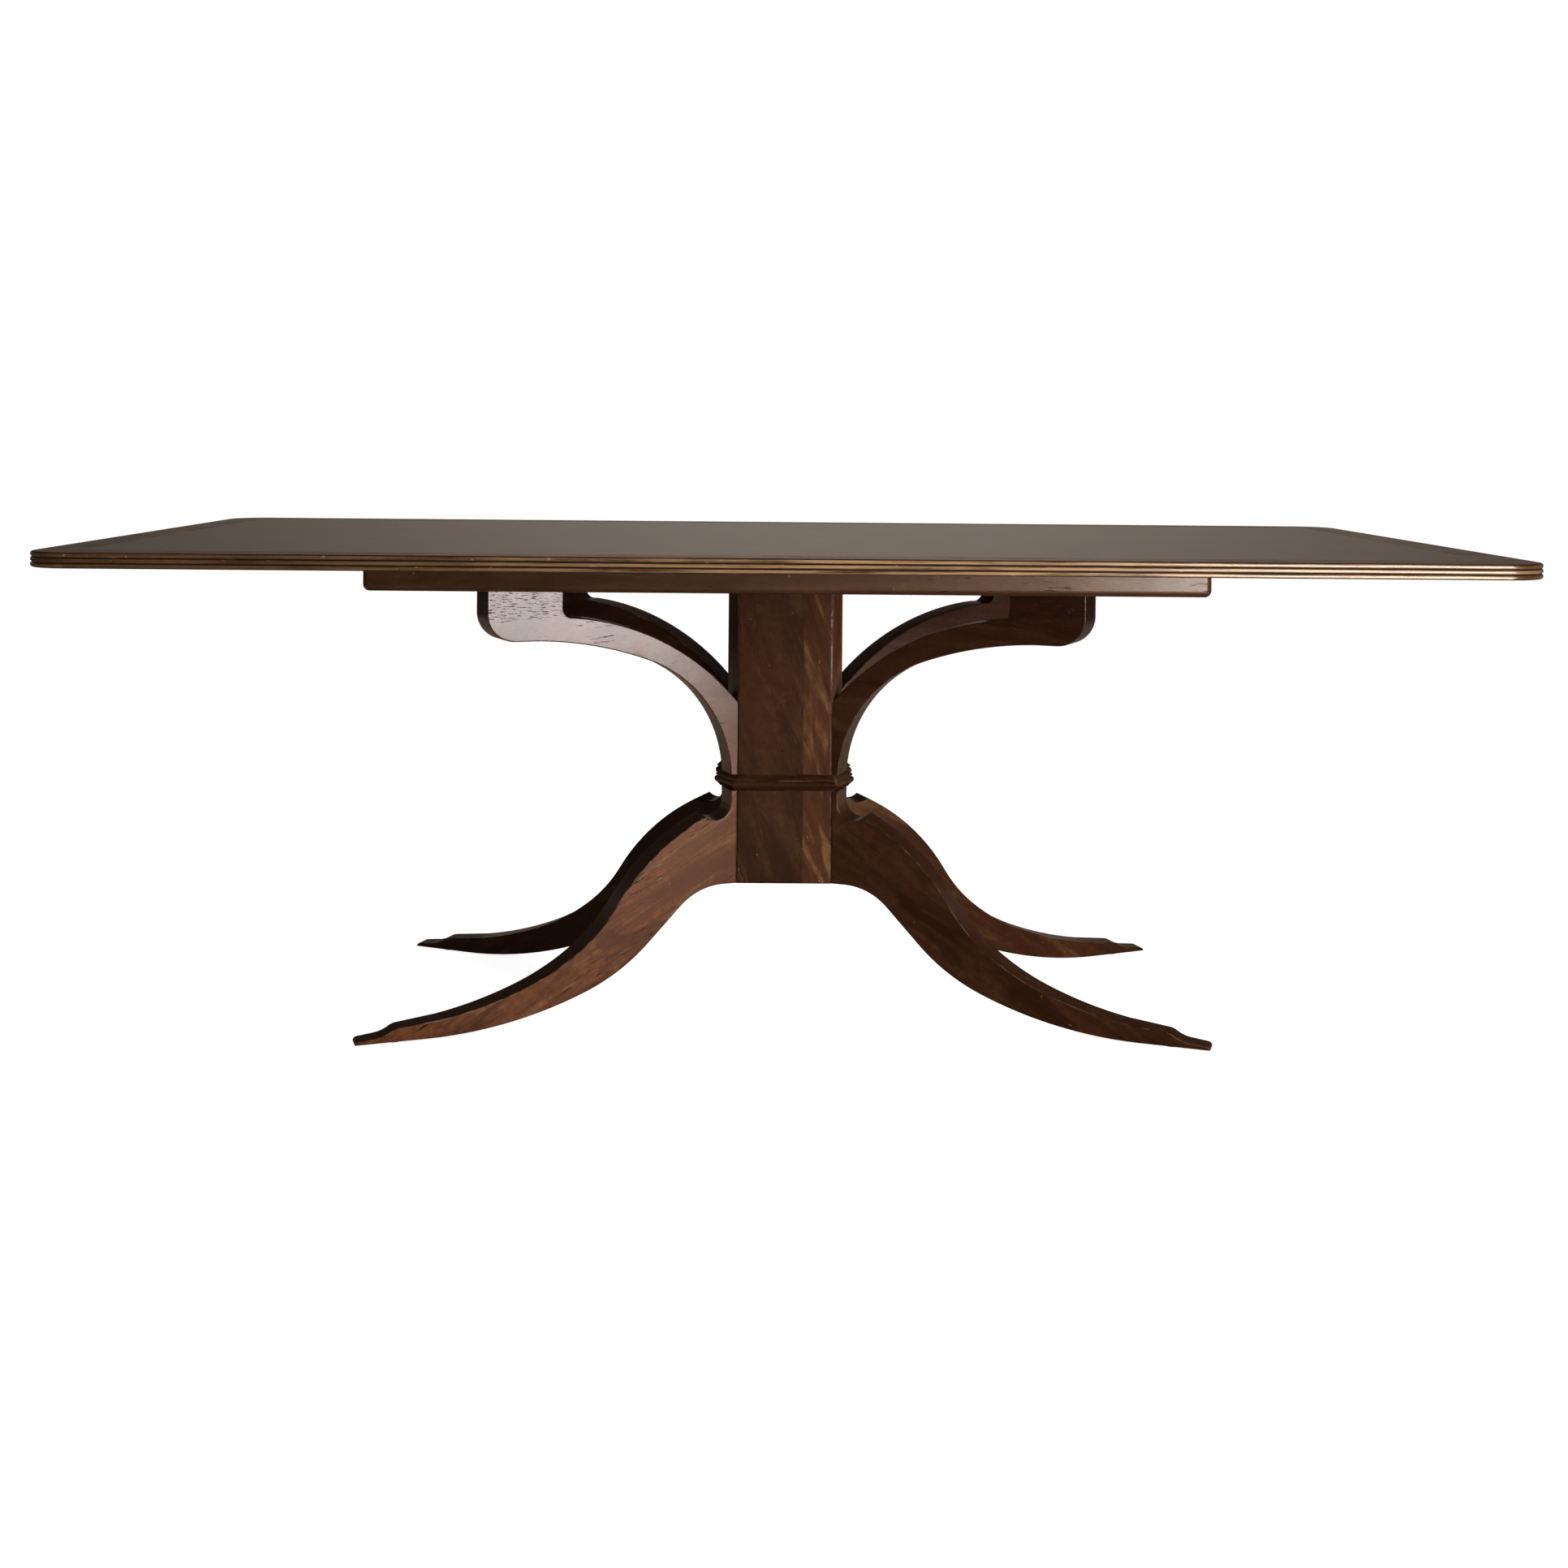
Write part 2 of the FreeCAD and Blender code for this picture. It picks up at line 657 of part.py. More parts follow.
def make_corner_stave(name):
    """Stave behind an arm and a leg; its own X zero is the face that they sit on."""
    hand = corner_hand(name)
    flat = half_board - easing
    body = make_stave(
        f"{name}_stave",
        [
            (-easing * cosine(splay) / 2, -(flat + (easing + easing * sine(splay)) / 2) * hand),
            (ZERO, -flat * hand),
            (ZERO, flat * hand),
            (-easing * sine(splay) / 2, (flat + (easing + easing * cosine(splay)) / 2) * hand),
            (-stave, (half_board - mitre_side) * hand),
            (-stave, (mitre_front - half_board) * hand),
        ],
    )
    bolts = new_sketch(body, "YZ_Plane")
    for height in LEG_BOLT_HEIGHTS:
        radius = size["bolt_diameter"] / 2 + size["bolt_clearance"]
        circle(bolts, bolt_offset * hand, size[height] - size["column_foot"], radius)
    pocket(body, bolts, None)
    dowels = new_sketch(body, "YZ_Plane")
    for height in dowel_heights:
        circle(dowels, ZERO, height - size["column_foot"], size["dowel_diameter"] / 2)
    pocket(body, dowels, size["dowel_depth"])
    place_at_corner(body, name, corner_x, corner_y, size["column_foot"])


def make_column():
    """Hollow octagonal column of mitred staves, closed at head and foot."""
    foot = size["column_foot"]
    joint = size["front_joint"]
    wide = make_stave(
        "front_wide_stave",
        [(-front_ease_x, -front_ease_y), (easing - face_half, -depth_half), (joint, -depth_half),
         (joint, -inner_depth_half), (-inner_face_half, -inner_depth_half)],
    )
    narrow = make_stave(
        "front_narrow_stave",
        [(joint, -depth_half), (face_half - easing, -depth_half), (front_ease_x, -front_ease_y),
         (inner_face_half, -inner_depth_half), (joint, -inner_depth_half)],
    )
    rear = make_stave(
        "rear_stave",
        [(front_ease_x, front_ease_y), (face_half - easing, depth_half),
         (easing - face_half, depth_half), (-front_ease_x, front_ease_y),
         (-inner_face_half, inner_depth_half), (inner_face_half, inner_depth_half)],
    )
    staves = [wide, narrow, rear]
    for label, side in (("right_stave", 1), ("left_stave", -1)):
        staves.append(make_stave(
            label,
            [(side_ease_x * side, -side_ease_y), (side_half * side, easing - side_reach),
             (side_half * side, side_reach - easing), (side_ease_x * side, side_ease_y),
             (inner_side_half * side, inner_side_reach), (inner_side_half * side, -inner_side_reach)],
        ))
    for body in staves:
        place(body, ZERO, ZERO, foot)
    for name in CORNERS:
        make_corner_stave(name)
    opening = [
        (-inner_face_half, -inner_depth_half), (inner_face_half, -inner_depth_half),
        (inner_side_half, -inner_side_reach), (inner_side_half, inner_side_reach),
        (inner_face_half, inner_depth_half), (-inner_face_half, inner_depth_half),
        (-inner_side_half, inner_side_reach), (-inner_side_half, -inner_side_reach),
    ]
    block_foot = column_head - size["head_block_thickness"]
    for label, thickness, height in (
        ("column_foot_plate", size["foot_plate_thickness"], foot),
        ("column_head_block", size["head_block_thickness"], block_foot),
    ):
        body = new_body(label)
        sketch = new_sketch(body, "XY_Plane")
        polygon(sketch, opening)
        pad(body, sketch, thickness)
        place(body, ZERO, ZERO, height)
        if label == "column_head_block":
            bores = new_sketch(body, "XY_Plane")
            for x, y in column_screw_places():
                circle(bores, x, y, size["screw_diameter"] / 2)
            pocket(body, bores, None, along_normal=True)
    plate = new_body("column_head_plate")
    sketch = new_sketch(plate, "XY_Plane")
    half_x = size["head_plate_length"] / 2
    half_y = size["head_plate_width"] / 2
    rectangle(sketch, -half_x, half_x, -half_y, half_y)
    pad(plate, sketch, size["head_plate_thickness"])
    bores = new_sketch(plate, "XY_Plane")
    for x, y in plate_screw_places() + column_screw_places():
        circle(bores, x, y, size["screw_diameter"] / 2)
    pocket(plate, bores, None, along_normal=True)
    seats = new_sketch(plate, "XY_Plane", size["head_plate_thickness"])
    for x, y in column_screw_places():
        circle(seats, x, y, size["screw_head_diameter"] / 2)
    pocket(plate, seats, size["screw_head_height"])
    place(plate, ZERO, ZERO, column_head)


def cut_collar_moulding(body, out, turn=ZERO):
    """Cut the two beads into the face of a collar strip that lies out from own zero.

    The face looks along own X, or along own X swung by turn."""
    high = size["collar_height"]
    quirk = size["collar_quirk"]
    bead = size["collar_bead"]
    small = size["collar_small_bead"]
    low = (high - bead - small) / 2
    spare = board
    inner = out - quirk
    bead_radius = (bead * bead / 4 + quirk * quirk) / (quirk * 2)
    small_rise = quirk / 2
    small_radius = (small * small / 4 + small_rise * small_rise) / (small_rise * 2)
    sketch = new_sketch(body, "XZ_Plane", turn=turn)
    outline(
        sketch,
        (inner - quirk, ZERO),
        [
            ("line", inner, low),
            ("left", inner, low + bead, bead_radius),
            ("left", inner, low + bead + small, small_radius),
            ("line", inner - quirk, high),
            ("line", out + spare, high),
            ("line", out + spare, ZERO),
            ("line", inner - quirk, ZERO),
        ],
    )
    pocket(body, sketch, size["column_depth"] * 2, symmetric=True)


def make_collar_strip(label, points, out, turn):
    """Strip of the collar, with its outer face at own X = out."""
    body = new_body(label)
    sketch = new_sketch(body, "XY_Plane")
    polygon(sketch, points)
    pad(body, sketch, size["collar_height"])
    cut_collar_moulding(body, out)
    place(body, ZERO, ZERO, size["collar_foot"], turn)
    return body


def make_collar():
    """Moulded collar of eight strips between the arms and the legs."""
    front_out = depth_half + size["collar_projection"]
    side_out = side_half + size["collar_projection"]
    front_half = size["collar_front_half"]
    lean = size["collar_splay_angle"]
    # A corner strip runs from the end of the front strip to its nose, where it turns
    # back along the cheek of the neck as far as the side strip.
    nose_y = size["collar_corner_reach"]
    nose_x = front_half + (front_out - nose_y) * slope(lean)
    turn_in = nose_y - (nose_x - side_out) * slope(splay)
    for label, turn in (("front_collar_strip", as_size(270)), ("rear_collar_strip", as_size(90))):
        points = [(depth_half, -face_half), (front_out, -front_half),
                  (front_out, front_half), (depth_half, face_half)]
        make_collar_strip(label, points, front_out, turn)
    for label, turn in (("right_collar_strip", ZERO), ("left_collar_strip", as_size(180))):
        points = [(side_half, -turn_in), (side_out, -turn_in), (side_out, turn_in), (side_half, turn_in)]
        make_collar_strip(label, points, side_out, turn)

    def own(x, y):
        return (x * cosine(lean) - y * sine(lean), x * sine(lean) + y * cosine(lean))

    plan = [
        own(face_half, -depth_half), own(front_half, -front_out), own(nose_x, -nose_y),
        own(side_out, -turn_in), own(side_half, -turn_in), own(side_half, -side_reach),
    ]
    out = plan[1][0]
    return_out = nose_x * sine(splay) - nose_y * cosine(splay)
    for name in CORNERS:
        hand = corner_hand(name)
        points = [(x, y * hand) for x, y in plan]
        body = make_collar_strip(f"{name}_collar_strip", points, out, corner_turn(name, lean))
        cut_collar_moulding(body, return_out, (as_size(90) + lean - splay) * hand)


def leg_taper(reach):
    """How much each cheek of a leg has lost at the given reach."""
    loss = (board - size["leg_tip_thickness"]) / 2
    return loss * (reach - size["leg_taper_start"]) / (size["leg_reach"] - size["leg_taper_start"])


def make_leg(name):
    """Sabre leg: neck, hollow, crest, long S-curve, stepped toe and flat foot."""
    body = new_body(f"{name}_leg")
    foot = size["column_foot"]
    reach = size["leg_reach"]
    floor = size["foot_pad_thickness"]
    neck = size["neck_projection"]
    steps = [
        ("line", neck, size["collar_foot"]),
        ("line", neck, size["cove_head"]),
        ("left", size["leg_crest_reach"], size["leg_crest"], size["cove_radius"]),
        ("right", reach * LEG_BACK_SHARE[0], foot * LEG_BACK_SHARE[1], size["leg_back_radius"]),
    ]
    steps += [(kind, reach * along, foot * up) for kind, along, up in LEG_UPPER_SHARES]
    steps += [("flow", reach, floor), ("line", reach * LEG_HEEL_SHARE, floor)]
    steps += [(kind, reach * along, foot * up) for kind, along, up in LEG_LOWER_SHARES]
    steps += [("line", ZERO, foot), ("line", ZERO, size["collar_foot"])]
    side_view = new_sketch(body, "XZ_Plane")
    outline(side_view, (ZERO, size["collar_foot"]), steps)
    pad(body, side_view, board, symmetric=True)
    cheeks = new_sketch(body, "XY_Plane")
    start = size["leg_taper_start"]
    beyond = reach + board
    for side in (-1, 1):
        polygon(cheeks, [
            (start, half_board * side),
            (beyond, (half_board - leg_taper(beyond)) * side),
            (beyond, board * side),
            (start, board * side),
        ])
    pocket(body, cheeks, None, along_normal=True)
    bolts = new_sketch(body, "YZ_Plane")
    for height in LEG_BOLT_HEIGHTS:
        radius = size["bolt_diameter"] / 2 + size["bolt_clearance"]
        circle(bolts, bolt_offset * corner_hand(name), size[height], radius)
    pocket(body, bolts, size["bolt_grip"] + size["bolt_clearance"], along_normal=True)

    def half_at(x):
        lost = leg_taper(as_size(x)).value
        return half_board.value - max(lost, ZERO.value)

    round_outline(body, half_at, [("x", ZERO), ("x", start), ("z", size["collar_foot"])])
    place_at_corner(body, name, corner_x, corner_y, ZERO)


def board_half(x):
    """Half the thickness of an arm or a block, the same at every place x along it."""
    return half_board.value


def add_slanted_end(body, steps, start, hand):
    """Add the outer end of an arm or block: further out on the side of the long axis."""
    side_view = new_sketch(body, "XZ_Plane")
    outline(side_view, start, steps)
    pad(body, side_view, board, symmetric=True, slant=(slope(size["arm_end_cant"]), as_size(hand)))


def make_arm(name):
    """Scrolled arm: it leaves the collar upright and ends level under its block."""
    body = new_body(f"{name}_arm")
    reach = size["arm_reach"]
    side_view = new_sketch(body, "XZ_Plane")
    outline(
        side_view,
        (ZERO, collar_head),
        [
            ("line", size["neck_projection"], collar_head),
            ("right", reach * ARM_LOWER_SHARE[0], collar_head + arm_rise * ARM_LOWER_SHARE[1],
             arm_rise * ARM_RADIUS_SHARE),
            ("flow", reach * ARM_LEVEL_SHARE, arm_level),
            ("line", reach - end_radius, arm_level),
            ("left", reach - end_inset, glue_line, end_radius),
            ("line", block_start - size["block_fillet"] - size["arm_upper_lead"], glue_line),
            ("left", ZERO, arm_root, arm_rise * ARM_UPPER_SHARE),
            ("line", ZERO, collar_head),
        ],
    )
    pad(body, side_view, board, symmetric=True)
    tip = reach + end_shift
    add_slanted_end(
        body,
        [("line", tip - end_radius, arm_level), ("left", tip - end_inset, glue_line, end_radius),
         ("line", tip - end_radius * 2, glue_line), ("line", tip - end_radius * 2, arm_level)],
        (tip - end_radius * 2, arm_level),
        corner_hand(name),
    )
    dowels = new_sketch(body, "YZ_Plane")
    for height in dowel_heights:
        circle(dowels, ZERO, height, size["dowel_diameter"] / 2)
    pocket(body, dowels, size["dowel_depth"], along_normal=True)
    screws = new_sketch(body, "XY_Plane", glue_line)
    for share in BLOCK_SCREW_SHARES:
        circle(screws, reach * share, ZERO, size["bearer_screw_diameter"] / 2)
    pocket(body, screws, size["bearer_screw_length"] - (top_underside - glue_line))
    round_outline(body, board_half, [("x", ZERO), ("z", collar_head), ("z", glue_line)])
    place_at_corner(body, name, corner_x, corner_y, ZERO)


def make_arm_block(name):
    """Block glued on the end of an arm, hollowed out at its inner foot."""
    body = new_body(f"{name}_arm_block")
    reach = size["arm_reach"]
    hollow = size["block_fillet"]
    side_view = new_sketch(body, "XZ_Plane")
    outline(
        side_view,
        (block_start - hollow, glue_line),
        [
            ("line", reach - end_inset, glue_line),
            ("left", reach, glue_line + end_rise, end_radius),
            ("line", reach, frame_underside),
            ("line", block_start, frame_underside),
            ("line", block_start, glue_line + hollow),
            ("right", block_start - hollow, glue_line, hollow),
        ],
    )
    pad(body, side_view, board, symmetric=True)
    tip = reach + end_shift
    add_slanted_end(
        body,
        [("line", tip - end_inset, glue_line), ("left", tip, glue_line + end_rise, end_radius),
         ("line", tip, frame_underside), ("line", tip - hollow, frame_underside),
         ("line", tip - hollow, glue_line)],
        (tip - hollow, glue_line),
        corner_hand(name),
    )
    screws = new_sketch(body, "XY_Plane", glue_line)
    for share in BLOCK_SCREW_SHARES:
        circle(screws, reach * share, ZERO, size["bearer_screw_diameter"] / 2)
    pocket(body, screws, None, along_normal=True)
    round_outline(body, board_half, [("z", glue_line), ("z", frame_underside)])
    place_at_corner(body, name, corner_x, corner_y, ZERO)


def pattern_body(label):
    """Start a fastener that is made once and set in many places; it is not a node."""
    body = doc.addObject("PartDesign::Body", label)
    body.Label = label
    body.Visibility = False
    return body


def make_group(label, pattern, places):
    """One node that holds a copy of the pattern at each x, y, z and turn."""
    links = []
    for x, y, z, turn in places:
        link = doc.addObject("App::Link", f"{label}_item")
        link.LinkedObject = pattern
        place(link, as_size(x), as_size(y), as_size(z), as_size(turn))
        links.append(link)
    group = doc.addObject("Part::Compound", label)
    group.Label = label
    group.Links = links
    nodes.append(group)
    doc.recompute()


def make_screw_pattern(label, diameter, length, point_up):
    """Screw with a flat head below or above own Z zero and its shank on the other side."""
    body = pattern_body(label)
    shank = new_sketch(body, "XY_Plane")
    circle(shank, ZERO, ZERO, diameter / 2)
    pad(body, shank, length, back=not point_up)
    head = new_sketch(body, "XY_Plane")
    circle(head, ZERO, ZERO, size["screw_head_diameter"] / 2)
    pad(body, head, size["screw_head_height"], back=point_up)
    return body


def make_fasteners():
    """Bolts, washers, dowels, screws and foot pads, one node for each kind."""
    seat = stave + size["washer_thickness"]
    bolt = pattern_body("leg_bolt_pattern")
    shank = new_sketch(bolt, "YZ_Plane", -seat)
    circle(shank, ZERO, ZERO, size["bolt_diameter"] / 2)
    pad(bolt, shank, seat + size["bolt_grip"])
    head = new_sketch(bolt, "YZ_Plane", -seat)
    radius = size["bolt_head_radius"]
    polygon(head, [
        (radius * cosine(as_size(60 * n)), radius * sine(as_size(60 * n))) for n in range(6)
    ])
    pad(bolt, head, size["bolt_head_height"], back=True)
    washer = pattern_body("washer_pattern")
    ring = new_sketch(washer, "YZ_Plane", -seat)
    circle(ring, ZERO, ZERO, size["washer_diameter"] / 2)
    circle(ring, ZERO, ZERO, size["bolt_diameter"] / 2 + size["bolt_clearance"])
    pad(washer, ring, size["washer_thickness"])
    dowel = pattern_body("dowel_pattern")
    rod = new_sketch(dowel, "YZ_Plane")
    circle(rod, ZERO, ZERO, size["dowel_diameter"] / 2)
    pad(dowel, rod, size["dowel_depth"] * 2, symmetric=True)
    disc = pattern_body("foot_pad_pattern")
    felt = new_sketch(disc, "XY_Plane")
    circle(felt, ZERO, ZERO, size["foot_pad_diameter"] / 2)
    pad(disc, felt, size["foot_pad_thickness"])
    bolt_x = corner_x + bolt_offset * sine(splay)
    bolt_y = corner_y - bolt_offset * cosine(splay)
    bolt_places = []
    dowel_places = []
    pad_places = []
    pad_reach = size["leg_reach"] * FOOT_PAD_SHARE
    for name, (side, end) in CORNERS.items():
        turn = corner_turn(name, splay)
        for height in LEG_BOLT_HEIGHTS:
            bolt_places.append((bolt_x * side, bolt_y * end, size[height], turn))
        for height in dowel_heights:
            dowel_places.append((corner_x * side, corner_y * end, height, turn))
        pad_x = (corner_x + pad_reach * cosine(splay)) * side
        pad_y = (corner_y + pad_reach * sine(splay)) * end
        pad_places.append((pad_x, pad_y, ZERO, ZERO))
    make_group("leg_bolts", bolt, bolt_places)
    make_group("leg_bolt_washers", washer, bolt_places)
    make_group("arm_dowels", dowel, dowel_places)
    make_group("foot_pads", disc, pad_places)
    screw = make_screw_pattern(
        "top_screw_pattern", size["screw_diameter"],
        size["screw_passage"] + size["screw_bite"], point_up=True,
    )
    rail_seat = top_underside - size["screw_passage"]
    top_places = [(x, y, rail_seat, ZERO) for x, y in rail_screw_places()]
    top_places += [(x, y, column_head, ZERO) for x, y in plate_screw_places()]
    make_group("top_screws", screw, top_places)
    plate_screw = make_screw_pattern(
        "head_plate_screw_pattern", size["screw_diameter"],
        size["head_block_thickness"], point_up=False,
    )
    head_seat = top_underside - size["screw_head_height"]
    make_group(
        "head_plate_screws", plate_screw,
        [(x, y, head_seat, ZERO) for x, y in column_screw_places()],
    )
    long_screw = make_screw_pattern(
        "bearer_screw_pattern", size["bearer_screw_diameter"],
        size["bearer_screw_length"] - size["screw_head_height"], point_up=False,
    )
    make_group(
        "bearer_screws", long_screw,
        [(x, y, head_seat, ZERO) for name in CORNERS for x, y in bearer_screw_places(name)],
    )


def check_and_export():
    """Stop on any broken object, then write each node to its own file."""
    for item in doc.Objects:
        if "Invalid" in item.State or "Error" in item.State:
            raise ValueError(f"{item.Label} is in state {item.State}")
    os.makedirs("parts", exist_ok=True)
    for node in nodes:
        if node.Shape.isNull() or not node.Shape.isValid():
            raise ValueError(f"{node.Label} has no valid shape")
        node.Shape.exportStep(f"parts/{node.Label}.step")
    print(f"{len(nodes)} nodes written")


make_top()
make_sub_frame()
make_column()
make_collar()
for corner in CORNERS:
    make_arm(corner)
    make_arm_block(corner)
    make_leg(corner)
make_fasteners()
doc.recompute()
check_and_export()
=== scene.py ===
"""Dresses a pedestal dining table in its worn brown wood, on a plain studio floor.

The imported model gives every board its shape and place. This script gives the boards
their finishes and sets the floor, the light and the camera.
"""

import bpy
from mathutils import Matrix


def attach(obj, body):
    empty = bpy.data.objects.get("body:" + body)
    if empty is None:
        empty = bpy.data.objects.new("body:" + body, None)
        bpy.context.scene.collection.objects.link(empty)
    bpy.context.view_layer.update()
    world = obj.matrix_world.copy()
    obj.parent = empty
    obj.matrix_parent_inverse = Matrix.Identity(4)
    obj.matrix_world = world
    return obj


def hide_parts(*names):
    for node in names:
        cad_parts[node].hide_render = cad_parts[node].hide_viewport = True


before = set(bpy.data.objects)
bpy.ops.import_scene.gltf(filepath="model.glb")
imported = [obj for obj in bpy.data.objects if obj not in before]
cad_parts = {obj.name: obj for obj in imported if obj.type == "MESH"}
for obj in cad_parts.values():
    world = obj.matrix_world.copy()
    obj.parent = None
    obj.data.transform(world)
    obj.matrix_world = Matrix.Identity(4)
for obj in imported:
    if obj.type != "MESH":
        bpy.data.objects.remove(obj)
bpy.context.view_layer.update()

import logging
import math
from dataclasses import dataclass, field, replace
from enum import Enum
from functools import partial, reduce

import bpy
from mathutils import Matrix, Vector

LOG = logging.getLogger("dining_table")
Colour = tuple[float, float, float]
Pair = tuple[float, float]
Triple = tuple[float, float, float]
Place = tuple[Triple, Triple]
Material = bpy.types.Material
Socket = bpy.types.NodeSocket
Value = Socket | float | str

CORNERS = {"front_right": -20.0, "rear_right": 20.0, "rear_left": 160.0, "front_left": 200.0}
CORNER_CENTRE = (1.003, 0.4695, 0.0)
CORNER_RADIUS = 0.064
REED_CROWN = (0.0630, 0.0638)
REED_FLANK = (0.0600, 0.0625)
GROOVE_RIM = (0.0620, 0.0636)
GROOVE_BED = (0.0590, 0.0606)
ORIGIN = (0.0, 0.0, 0.0)
ACROSS = (0.0, 0.0, 90.0)
WHITE = (1.0, 1.0, 1.0)

# Cells of the wood's patterns for each metre along the grain and across it.
FINE_LINES = (14.0, 420.0, 420.0)
STREAKS = (5.0, 75.0, 75.0)
WIDE_BANDS = (1.6, 9.0, 9.0)
FLAMES = (5.5, 31.0, 31.0)
CLOUDS = (6.5, 24.0, 24.0)
PORES = (130.0, 1700.0, 1700.0)
CRACKS = (24.0, 270.0, 270.0)
CRACKED_SPOTS = (6.0, 14.0, 14.0)
CROWN_RUBS = (5.0, 9.0, 150.0)
CROWN_CHIPS = (38.0, 60.0, 300.0)


def rgba(colour: Colour) -> tuple[float, float, float, float]:
    """The colour with full opacity."""
    return (*colour, 1.0)


def toned(colour: Colour, tone: float) -> Colour:
    """The colour made lighter or darker by a factor."""
    return (colour[0] * tone, colour[1] * tone, colour[2] * tone)


def pick(sockets: bpy.types.bpy_prop_collection, key: int | str) -> Socket:
    """A socket by its identifier, or else by its name or index."""
    known = {socket.identifier: socket for socket in sockets}
    return known[key] if key in known else sockets[key]


def stand(name: str, data: bpy.types.ID) -> bpy.types.Object:
    """Make an object that holds the data, and put it in the scene."""
    made = bpy.data.objects.new(name, data)
    bpy.context.scene.collection.objects.link(made)
    return made


class Tree:
    """Short calls for the nodes of one material, world or node group."""

    def __init__(self, owner: bpy.types.ID) -> None:
        """Start an empty tree.

        Args:
            owner: the material, world or node group that gets the nodes.
        """
        if isinstance(owner, bpy.types.NodeTree):
            held = owner
        else:
            owner.use_nodes = True
            held = owner.node_tree
        self.nodes, self.links = held.nodes, held.links
        self.nodes.clear()
        self.named: dict[str, Socket] = {}

    def add(self, kind: str, inputs: dict | None = None, **settings: object) -> bpy.types.Node:
        """Add a node.

        Args:
            kind: Blender's name for the node's type.
            inputs: for each input, by name, identifier or index, a value, a socket or the
                label of one of the tree's named sizes.
            settings: properties of the node itself.

        Returns:
            The new node.
        """
        node = self.nodes.new(kind)
        for name, value in settings.items():
            setattr(node, name, value)
        for key, value in (inputs or {}).items():
            socket = pick(node.inputs, key)
            if isinstance(value, str):
                value = self.named.get(value, value)
            if isinstance(value, Socket):
                self.links.new(value, socket)
            else:
                socket.default_value = value
        return node

    def make(self, kind: str, inputs: dict | None = None, out: int | str = 0,
             **settings: object) -> Socket:
        """Add a node, as add does, for one of its outputs."""
        return pick(self.add(kind, inputs, **settings).outputs, out)

    def calc(self, kind: str, a: Value, b: Value = 0.0) -> Socket:
        """Work out one number from one or two others."""
        return self.make("ShaderNodeMath", {0: a, 1: b}, operation=kind)

    def times(self, first: Value, *others: Value) -> Socket:
        """Multiply numbers."""
        return reduce(partial(self.calc, "MULTIPLY"), others, first)

    def plus(self, first: Value, *others: Value) -> Socket:
        """Add numbers."""
        return reduce(partial(self.calc, "ADD"), others, first)

    def vector(self, kind: str, a: Socket, b: Socket | Triple = ORIGIN) -> Socket:
        """Work out a vector, or the number that a length or a dot product is."""
        out = "Value" if kind in ("LENGTH", "DOT_PRODUCT") else "Vector"
        return self.make("ShaderNodeVectorMath", {0: a, 1: b}, out, operation=kind)

    def axis(self, place: Socket, number: int) -> Socket:
        """One coordinate of a place."""
        return self.make("ShaderNodeSeparateXYZ", {0: place}, number)

    def band(self, value: Value, low: Value, high: Value, start: Value = 0.0,
             end: Value = 1.0) -> Socket:
        """Ease a number from one range to another.

        Args:
            value: the number.
            low: where the first range starts.
            high: where the first range ends.
            start: result at low.
            end: result at high.

        Returns:
            The eased number, held inside the second range.
        """
        inputs = {"Value": value, "From Min": low, "From Max": high, "To Min": start, "To Max": end}
        return self.make("ShaderNodeMapRange", inputs, interpolation_type="SMOOTHSTEP")

    def noise(self, place: Socket, scale: Triple | float, detail: float = 2.0,
              rough: float = 0.5, warp: float = 0.0) -> Socket:
        """Cloudy noise.

        Args:
            place: the vector that it is read at.
            scale: cells for each metre, all ways or along each axis.
            detail: how many finer layers are added.
            rough: how strong the finer layers are.
            warp: how far the pattern is bent by itself.

        Returns:
            A number around a half.
        """
        factors = scale if isinstance(scale, tuple) else (scale, scale, scale)
        inputs = {"Vector": self.vector("MULTIPLY", place, factors), "Scale": 1.0,
                  "Detail": detail, "Roughness": rough, "Distortion": warp}
        return self.make("ShaderNodeTexNoise", inputs)

    def blend(self, share: Value, first: Socket | Colour, second: Socket | Colour) -> Socket:
        """Blend two colours, with the second one's share."""
        colours = [c if isinstance(c, Socket) else rgba(c) for c in (first, second)]
        return self.make("ShaderNodeMix", {"Factor_Float": share, "A_Color": colours[0],
                                           "B_Color": colours[1]}, "Result_Color",
                         data_type="RGBA")

    def bump(self, strength: float, distance: float, height: Socket, **inputs: Socket) -> Socket:
        """A normal tilted by a height in metres, with Normal= the one to start from."""
        return self.make("ShaderNodeBump", {"Strength": strength, "Distance": distance,
                                            "Height": height, **inputs})

    def mix(self, share: Socket, first: Socket, second: Socket) -> Socket:
        """Mix two shaders."""
        return self.make("ShaderNodeMixShader", {0: share, 1: first, 2: second})

    def shade(self, inputs: dict) -> None:
        """End a material with one principled shader."""
        shader = self.make("ShaderNodeBsdfPrincipled", inputs)
        self.add("ShaderNodeOutputMaterial", {"Surface": shader})

    def smooth(self, shape: Socket, sharp: Value) -> Socket:
        """Shade a mesh smooth, apart from its sharp edges.

        Args:
            shape: the mesh.
            sharp: edges bent by more than this many radians stay sharp.

        Returns:
            The shaded mesh.
        """
        bend = self.make("GeometryNodeInputMeshEdgeAngle", out="Unsigned Angle")
        low = self.make("FunctionNodeCompare", {0: bend, 1: sharp}, data_type="FLOAT",
                        operation="LESS_THAN")
        shape = self.make("GeometryNodeSetShadeSmooth", {"Geometry": shape}, domain="FACE")
        return self.make("GeometryNodeSetShadeSmooth", {"Geometry": shape, "Shade Smooth": low},
                         domain="EDGE")


